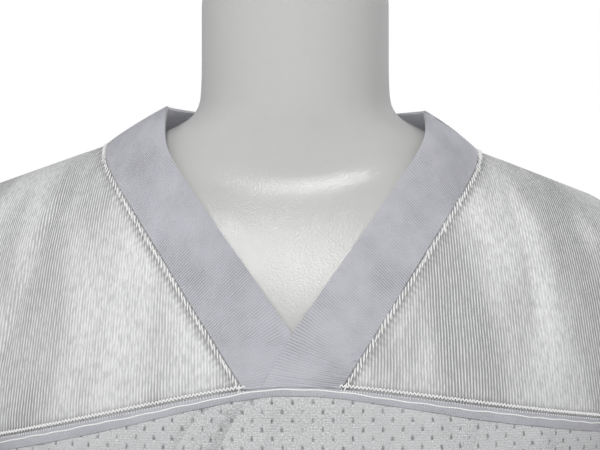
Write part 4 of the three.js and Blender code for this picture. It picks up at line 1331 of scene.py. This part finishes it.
COLLAR_ROOM = 0.0055


def read_table(rows, column, z):
    column = FORM_COLUMNS.index(column)
    above = np.clip(np.searchsorted(rows[:, 0], z), 1, len(rows) - 1)
    low, high = rows[above - 1], rows[above]
    t = ease((z - low[..., 0]) / (high[..., 0] - low[..., 0]))
    return mix(low[..., column], high[..., column], t)


def form_side(face, swing, level):
    mid_z = APEX_Z - fall_of(level)
    half = read_table(FORM_SECTIONS, "half", mid_z)
    x = half * np.sin(swing)
    own = read_table(FORM_SECTIONS, face, mid_z) * np.maximum(
        0, 1 - np.abs(np.sin(swing)) ** ROUNDNESS) ** (1 / ROUNDNESS)
    folded = 1.0 if face == "back" else ease((np.abs(x) - 0.070) / 0.030)
    folds = FOLD_ROOM * folded * ease(level / 0.25)
    collar = COLLAR_ROOM * ease((0.55 - level) / 0.3) * ease((0.150 - np.abs(x)) / 0.050)
    room = SEAT_GAP + np.maximum(folds, collar)
    draped = depth_of(face, across_at(face, x, level + 0 * x), level)[1]
    under = draped * (1 - room / FACES[face]["depth"]) - SEAT_GAP * ease(level) / 2
    flatten = 1 - ease(below(level) / 0.6)
    z = mid_z - drop_of(level, x) * flatten - room * np.cos(turn_of(level))
    y = np.maximum(soft_min(own, under, 0.002), 0.0004)
    return points(x, FACES[face]["sign"] * y, z)


def torso_rings():
    bottom = 1 + (APEX_Z - CHEST_FALL - FORM_BOTTOM) / (APEX_Z - CHEST_FALL - HEM_Z)
    levels = np.concatenate([np.linspace(bottom, 1, 70), np.linspace(1, 0.06, 90)[1:]])[:, None]
    swing = math.pi * (np.linspace(0, 1, 90) - 0.5)[None, :]
    front = form_side("front", swing[:, :-1], levels)
    back = form_side("back", swing[:, :0:-1], levels)
    return np.concatenate([front, back], axis=1)


def neck_rings():
    heights = np.concatenate([np.linspace(0.83, 0.878, 8), np.linspace(0.882, 0.946, 33),
                              np.linspace(0.952, FORM_TOP, 8)])
    angle = np.linspace(0, 2 * math.pi, 128, endpoint=False)
    rings = []
    for z in heights:
        depth = np.where(np.sin(angle) < 0, read_table(FORM_NECK, "front", z),
                         read_table(FORM_NECK, "back", z))
        rings.append(points(NECK_X + read_table(FORM_NECK, "half", z) * np.cos(angle),
                            depth * np.sin(angle), z))
    return rings


def relax(mesh, weight, rounds):
    """Draw each vertex towards the middle of its neighbours, by its weight."""
    count = len(mesh.vertices)
    verts = np.empty(count * 3)
    mesh.vertices.foreach_get("co", verts)
    verts = verts.reshape(-1, 3)
    ends = np.empty(len(mesh.edges) * 2, dtype=np.int32)
    mesh.edges.foreach_get("vertices", ends)
    ends = ends.reshape(-1, 2)
    both = np.concatenate([ends, ends[:, ::-1]])
    degree = np.bincount(both[:, 0], minlength=count)[:, None]
    share = weight(verts)[:, None]
    for _ in range(rounds):
        total = np.stack([np.bincount(both[:, 0], verts[both[:, 1], k], count) for k in range(3)],
                         -1)
        verts = verts + (total / degree - verts) * share
    mesh.vertices.foreach_set("co", verts.ravel())
    mesh.update()


def form_shell(name):
    """Torso and neck as one moulded skin, with the hollow of the neck's root drawn smooth."""
    torso = put("torso_part", loft_mesh("torso_part", torso_rings()))
    neck = put("neck_part", loft_mesh("neck_part", neck_rings()))
    join = torso.modifiers.new("join", "BOOLEAN")
    join.operation = "UNION"
    join.object = neck
    skin = torso.modifiers.new("skin", "REMESH")
    skin.mode = "VOXEL"
    skin.voxel_size = FORM_VOXEL
    piece = plain_copy(name, torso, finishes()["form"])
    bpy.data.objects.remove(neck)
    relax(piece.data, lambda v: np.full(len(v), 0.5), SKIN_ROUNDS)

    def near_root(verts):
        away = np.abs(np.hypot(verts[:, 0] / ROOT_HALF, verts[:, 1] / ROOT_DEPTH) - 1)
        low = ease((verts[:, 2] - 0.80) / 0.04)
        return 0.5 * ease((0.45 - away) / 0.35) * ease((0.908 - verts[:, 2]) / 0.02) * low

    relax(piece.data, near_root, ROOT_ROUNDS)
    smooth(piece.data, math.radians(60))
    return piece


# ---------------------------------------------------------------------------------------------
# The settings that a user would change
# ---------------------------------------------------------------------------------------------


class JerseyLook(bpy.types.PropertyGroup):
    rib_pitch: bpy.props.FloatProperty(
        name="Rib pitch", description="Distance between two ribs of the dazzle cloth",
        default=0.00195, unit="LENGTH", precision=5)
    hole_spacing: bpy.props.FloatProperty(
        name="Hole spacing", description="Distance between two holes in a row of the mesh",
        default=0.0125, unit="LENGTH", precision=4)
    hole_row: bpy.props.FloatProperty(
        name="Hole rows", description="Distance between two rows of holes",
        default=0.0056, unit="LENGTH", precision=4)
    course_pitch: bpy.props.FloatProperty(
        name="Band courses", description="Distance between two courses of the neck band's knit",
        default=0.0016, unit="LENGTH", precision=5)
    dazzle_colour: bpy.props.FloatVectorProperty(
        name="Dazzle cloth", description="Colour of the yokes and the sleeves",
        default=(0.86, 0.86, 0.85), subtype="COLOR", size=3, min=0, max=1)
    mesh_colour: bpy.props.FloatVectorProperty(
        name="Mesh", description="Colour of the body", default=(0.70, 0.70, 0.70),
        subtype="COLOR", size=3, min=0, max=1)
    knit_colour: bpy.props.FloatVectorProperty(
        name="Flat knit", description="Colour of the neck band and the tapes",
        default=(0.505, 0.505, 0.540), subtype="COLOR", size=3, min=0, max=1)
    thread_colour: bpy.props.FloatVectorProperty(
        name="Thread", description="Colour of the stitches", default=(0.93, 0.93, 0.91),
        subtype="COLOR", size=3, min=0, max=1)
    form_colour: bpy.props.FloatVectorProperty(
        name="Form", description="Colour of the display form", default=(0.515, 0.515, 0.496),
        subtype="COLOR", size=3, min=0, max=1)
    lens: bpy.props.FloatProperty(
        name="Lens", description="Focal length of the camera", default=117.2, unit="CAMERA")


# ---------------------------------------------------------------------------------------------
# Operators
# ---------------------------------------------------------------------------------------------


def own(piece, slot, *nodes):
    """Make a piece ride on the one body and stand for its solids, which are hidden; the slot is not
    used.
    """
    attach(piece, BODY)
    if nodes:
        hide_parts(*nodes)
    return piece


class JERSEY_OT_form(bpy.types.Operator):
    """Build the moulded torso and its neck cap"""

    bl_idname = "jersey.build_form"
    bl_label = "Form"

    def execute(self, context):
        own(form_shell("form_skin"), "form", "form_torso")
        low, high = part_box("form_neck_cap")
        radius = (high[0] - low[0]) / 2
        centre = ((high[0] + low[0]) / 2, (high[1] + low[1]) / 2)
        profile = rounded_profile(radius, low[2], high[2] - 0.002, 0.0022)
        profile += [(radius - 0.010, high[2] - 0.0012), (radius - 0.020, high[2] - 0.0008),
                    (0.012, high[2] - 0.0006), (0.011, high[2]), (0.003, high[2])]
        cap = put("neck_cap", turned_mesh("neck_cap", profile, centre), finishes()["steel"])
        own(cap, "chrome", "form_neck_cap")
        return {"FINISHED"}


class JERSEY_OT_stand(bpy.types.Operator):
    """Build the flange, pole, socket and round base"""

    bl_idname = "jersey.build_stand"
    bl_label = "Stand"

    def execute(self, context):
        edges = {"stand_flange": 0.0012, "stand_pole": 0.0008, "stand_socket": 0.003,
                 "stand_base": 0.0025}
        for node, edge in edges.items():
            low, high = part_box(node)
            radius = (high[0] - low[0]) / 2
            mesh = turned_mesh(node + "_turned", rounded_profile(radius, low[2], high[2], edge))
            own(put(node + "_turned", mesh, finishes()["steel"]), "chrome", node)
        self.screws()
        return {"FINISHED"}

    def screws(self):
        """Countersunk screws that hold the flange up to the form, as plain turned heads."""
        low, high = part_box("stand_flange")
        ring = (high[0] - low[0]) / 2 - 0.010
        for number in range(4):
            angle = math.pi / 4 + number * HALF_PI
            centre = (ring * math.cos(angle), ring * math.sin(angle))
            profile = [(0.0015, low[2] - 0.0012), (0.0034, low[2] - 0.0010),
                       (0.0038, low[2] - 0.0004),
                       (0.0038, low[2] + 0.001)]
            name = "flange_screw_%d" % (number + 1)
            own(put(name, turned_mesh(name, profile, centre, 20), finishes()["steel"]), "chrome")


class JERSEY_OT_yokes(bpy.types.Operator):
    """Build the two front yokes and the back yoke of dazzle cloth"""

    bl_idname = "jersey.build_yokes"
    bl_label = "Yokes"

    def execute(self, context):
        for sign, side in ((-1, "right"), (1, "left")):
            piece = front_yoke(sign, "front_yoke_" + side)
            own(piece, "dazzle", "yoke_front_" + side)
        piece = back_yoke("back_yoke")
        own(piece, "dazzle", "yoke_back")
        return {"FINISHED"}


class JERSEY_OT_collar(bpy.types.Operator):
    """Build the lapped V of the flat-knit neck band"""

    bl_idname = "jersey.build_collar"
    bl_label = "Neck band"

    def execute(self, context):
        piece = band_shell("neck_band")
        own(piece, "rib", "collar_band")
        return {"FINISHED"}


class JERSEY_OT_tapes(bpy.types.Operator):
    """Build the tapes under the yoke seams"""

    bl_idname = "jersey.build_tapes"
    bl_label = "Seam tapes"

    def execute(self, context):
        for face in FACES:
            piece = tape(face, face + "_tape")
            own(piece, "rib", "seam_tape_" + face)
        return {"FINISHED"}


class JERSEY_OT_body(bpy.types.Operator):
    """Build the front and the back of porthole mesh"""

    bl_idname = "jersey.build_body"
    bl_label = "Body"

    def execute(self, context):
        for face in FACES:
            piece = body(face, face + "_body")
            own(piece, "mesh", "body_" + face)
        return {"FINISHED"}


class JERSEY_OT_sleeves(bpy.types.Operator):
    """Build the two short sleeves, which hang empty"""

    bl_idname = "jersey.build_sleeves"
    bl_label = "Sleeves"

    def execute(self, context):
        for sign, side in ((-1, "right"), (1, "left")):
            piece = sleeve(sign, "short_sleeve_" + side)
            own(piece, "dazzle", "sleeve_" + side)
        return {"FINISHED"}


def cloth_line(face, across, level, rise):
    """Points and normals on the outside of a panel."""
    across, level = np.broadcast_arrays(np.asarray(across, float), np.asarray(level, float))
    return draped_point(face, across, level, rise), outward_at(face, across, level)


class JERSEY_OT_stitches(bpy.types.Operator):
    """Sew the seams: cover stitches, the neck's hooked stitches, the hems and the tapes' cords"""

    bl_idname = "jersey.build_stitches"
    bl_label = "Stitches"

    def execute(self, context):
        self.yoke_seams()
        self.neck_seams()
        self.hems()
        self.tape_cords()
        return {"FINISHED"}

    def yoke_seams(self):
        """A zigzag on each yoke's lower edge, and the short legs of its cover stitch below."""
        for face in FACES:
            seam = SEAM[face]
            zigzag, legs = [], []
            spans = [(-1, 1)] if face == "back" else [
                (-0.995, float(across_at(face, -neck_edge_at(-1, seam), seam))),
                (float(across_at(face, neck_edge_at(1, seam), seam)), 0.995)]
            for start, stop in spans:
                across = np.linspace(start, stop, 300)
                level = seam - level_step(seam, 0.0022)
                zigzag.append(cloth_line(face, across, level, WALL["dazzle"] + 0.0005))
                level = seam + level_step(seam, 0.0008)
                legs.append(cloth_line(face, across, level, WALL["tape"] + 0.0003))
            own(sew(face + "_yoke_zigzag", zigzag, "zigzag"), "dazzle")
            own(sew(face + "_yoke_legs", legs, "leg"), "dazzle")

    def neck_seams(self):
        """Long hooked stitches from the band to the front yokes, and short ones behind the neck."""
        for sign, side in ((-1, "right"), (1, "left")):
            level = np.linspace(0.004, SEAM["front"] - 0.004, 400)
            half = neck_edge_at(sign, level)
            across = across_at("front", sign * (half + 0.0020), level)
            guide = cloth_line("front", across, level, WALL["dazzle"] + 0.0005)
            own(sew("neck_seam_" + side, [guide], "hook_" + side), "dazzle")
        turn = np.linspace(0.02, HALF_PI, 200)
        for sign, side in ((-1, "right"), (1, "left")):
            x, y = back_outer_plan(sign, turn)
            level = level_at_depth("back", x, y + 0.0012)
            guide = cloth_line("back", across_at("back", x, level), level, WALL["dazzle"] + 0.0005)
            own(sew("neck_seam_back_" + side, [guide], "back_neck"), "dazzle")

    def hems(self):
        """Two rows of run stitches above the body's hem, and two round each cuff."""
        guides = []
        for face in FACES:
            across = np.linspace(-0.985, 0.985, 500)
            for height in (0.0185, 0.0150):
                level = 2 - height / (APEX_Z - CHEST_FALL - HEM_Z)
                guides.append(cloth_line(face, across, level, WALL["mesh"] + 0.0008))
        own(sew("hem_stitches", guides, "hem"), "mesh")
        for sign, side in ((-1, "right"), (1, "left")):
            guides = [cuff_line(sign, share) for share in (0.925, 0.939)]
            own(sew("cuff_stitches_" + side, guides, "cuff"), "dazzle")

    def tape_cords(self):
        """The raised cord that runs along each tape."""
        for face in FACES:
            seam = SEAM[face]
            across = np.linspace(-0.995, 0.995, 420)
            wander = 0.0002 * np.sin(across * 90) + 0.00015 * np.sin(across * 37 + 1)
            down = mix(0.0014, 0.0036, ease(np.abs(across) / 0.3)) + wander
            level = seam + level_step(seam, 1) * down
            line, normal = cloth_line(face, across, level, WALL["tape"] + 0.0004)
            own(cord_mesh(face + "_tape_cord", line, normal, 0.00045), "rib")


# The camera, by its distance from the front of the frame's box. A matte lamp leaves no highlight,
# and a gloss lamp leaves only highlights.
SENSOR_WIDTH = 36.0
CAMERA_X = 0.005
CAMERA_Z = 0.842
CAMERA_DISTANCE = 1.160
LAMP_FIELDS = ("name", "place", "aim", "size", "power", "falls_on")
LAMPS = [dict(zip(LAMP_FIELDS, row)) for row in (
    ("key_softbox", (-0.22, -1.50, 2.28), (0.0, -0.1, 0.80), (0.60, 0.50), 21.0, "matte"),
    ("gloss_strip", (0.09, -1.20, 2.48), (0.0, -0.1, 0.83), (0.08, 0.72), 7.5, "gloss"),
    ("front_fill", (-0.2, -2.6, 0.40), (0.0, 0.0, 0.85), (1.2, 0.8), 13.0, "matte"),
    ("back_fill", (1.7, 2.5, 1.60), (0.0, 0.0, 0.60), (1.0, 1.0), 60.0, "matte"),
)]
WORLD_LIGHT = 0.49
WORLD_FROM_LEFT = -0.04
WORLD_FROM_ABOVE = -0.06


class JERSEY_OT_stage(bpy.types.Operator):
    """Set the pale floor, the studio lamps and the camera at chest height"""

    bl_idname = "jersey.build_stage"
    bl_label = "Stage"

    def execute(self, context):
        self.floor()
        self.world()
        for lamp in LAMPS:
            self.softbox(**lamp)
        camera = bpy.data.cameras.new("camera")
        camera.lens = context.scene.jersey_look.lens
        camera.sensor_width = SENSOR_WIDTH
        view = bpy.data.objects.new("camera", camera)
        view.location = (CAMERA_X, CAD_BOX[0][1] - CAMERA_DISTANCE, CAMERA_Z)
        view.rotation_euler = (HALF_PI, 0.0, 0.0)
        context.scene.collection.objects.link(view)
        context.scene.camera = view
        context.scene.view_settings.view_transform = "Standard"
        return {"FINISHED"}

    def floor(self):
        mesh = bpy.data.meshes.new("floor")
        half = 2.4
        mesh.from_pydata([(-half, -half, 0), (half, -half, 0), (half, half, 0), (-half, half, 0)],
                         [], [(0, 1, 2, 3)])
        material = new_material("pale_floor", Roughness=0.7, Base_Color=rgba((0.86, 0.86, 0.86)))[0]
        put("floor", mesh, material)

    def world(self):
        """White behind the object; dimmer, and a little darker from above, as a light on it."""
        world = bpy.data.worlds.new("studio")
        bpy.context.scene.world = world
        world.use_nodes = True
        nodes = Nodes(world.node_tree)
        ground = world.node_tree.nodes["Background"]
        ground.inputs["Color"].default_value = (1.0, 1.0, 1.0, 1.0)
        ground.inputs["Strength"].default_value = 1.0
        toward = nodes.add("ShaderNodeTexCoord").outputs["Generated"]
        split = nodes.add("ShaderNodeSeparateXYZ", {"Vector": toward}).outputs
        side = nodes.math("MULTIPLY_ADD", split["X"], WORLD_FROM_LEFT, WORLD_LIGHT)
        strength = nodes.math("MULTIPLY_ADD", split["Z"], WORLD_FROM_ABOVE, side)
        lamp = nodes.add("ShaderNodeBackground", {"Color": (0.96, 0.97, 1.0, 1.0),
                                                  "Strength": strength})
        seen = nodes.add("ShaderNodeLightPath").outputs["Is Camera Ray"]
        mixed = nodes.add("ShaderNodeMixShader", {0: seen})
        world.node_tree.links.new(lamp.outputs[0], mixed.inputs[1])
        world.node_tree.links.new(ground.outputs[0], mixed.inputs[2])
        world.node_tree.links.new(mixed.outputs[0],
                                  world.node_tree.nodes["World Output"].inputs["Surface"])

    def softbox(self, name, place, aim, size, power, falls_on):
        """A rectangular lamp that lights everything, or only what is matte or what is glossy."""
        light = bpy.data.lights.new(name, "AREA")
        light.shape = "RECTANGLE"
        light.size, light.size_y = size
        light.energy = power
        lamp = bpy.data.objects.new(name, light)
        lamp.location = place
        lamp.rotation_euler = (Vector(aim) - Vector(place)).to_track_quat("-Z", "Y").to_euler()
        lamp.visible_glossy = falls_on != "matte"
        lamp.visible_diffuse = falls_on != "gloss"
        bpy.context.scene.collection.objects.link(lamp)


OPERATORS = (
    JERSEY_OT_stage,
    JERSEY_OT_form,
    JERSEY_OT_stand,
    JERSEY_OT_collar,
    JERSEY_OT_yokes,
    JERSEY_OT_tapes,
    JERSEY_OT_body,
    JERSEY_OT_sleeves,
    JERSEY_OT_stitches,
)


class JERSEY_PT_panel(bpy.types.Panel):
    """Lists the jersey's settings and its pieces"""

    bl_label = "Jersey"
    bl_idname = "JERSEY_PT_panel"
    bl_space_type = "VIEW_3D"
    bl_region_type = "UI"
    bl_category = "Jersey"

    def draw(self, context):
        look = context.scene.jersey_look
        for name in look.__annotations__:
            self.layout.prop(look, name)
        for operator in OPERATORS:
            self.layout.operator(operator.bl_idname)


CLASSES = (JerseyLook, *OPERATORS, JERSEY_PT_panel)


def register():
    for cls in CLASSES:
        bpy.utils.register_class(cls)
    bpy.types.Scene.jersey_look = bpy.props.PointerProperty(type=JerseyLook)


def unregister():
    del bpy.types.Scene.jersey_look
    for cls in reversed(CLASSES):
        bpy.utils.unregister_class(cls)


def main():
    register()
    for operator in OPERATORS:
        group, action = operator.bl_idname.split(".")
        getattr(getattr(bpy.ops, group), action)()


if __name__ == "__main__":
    main()
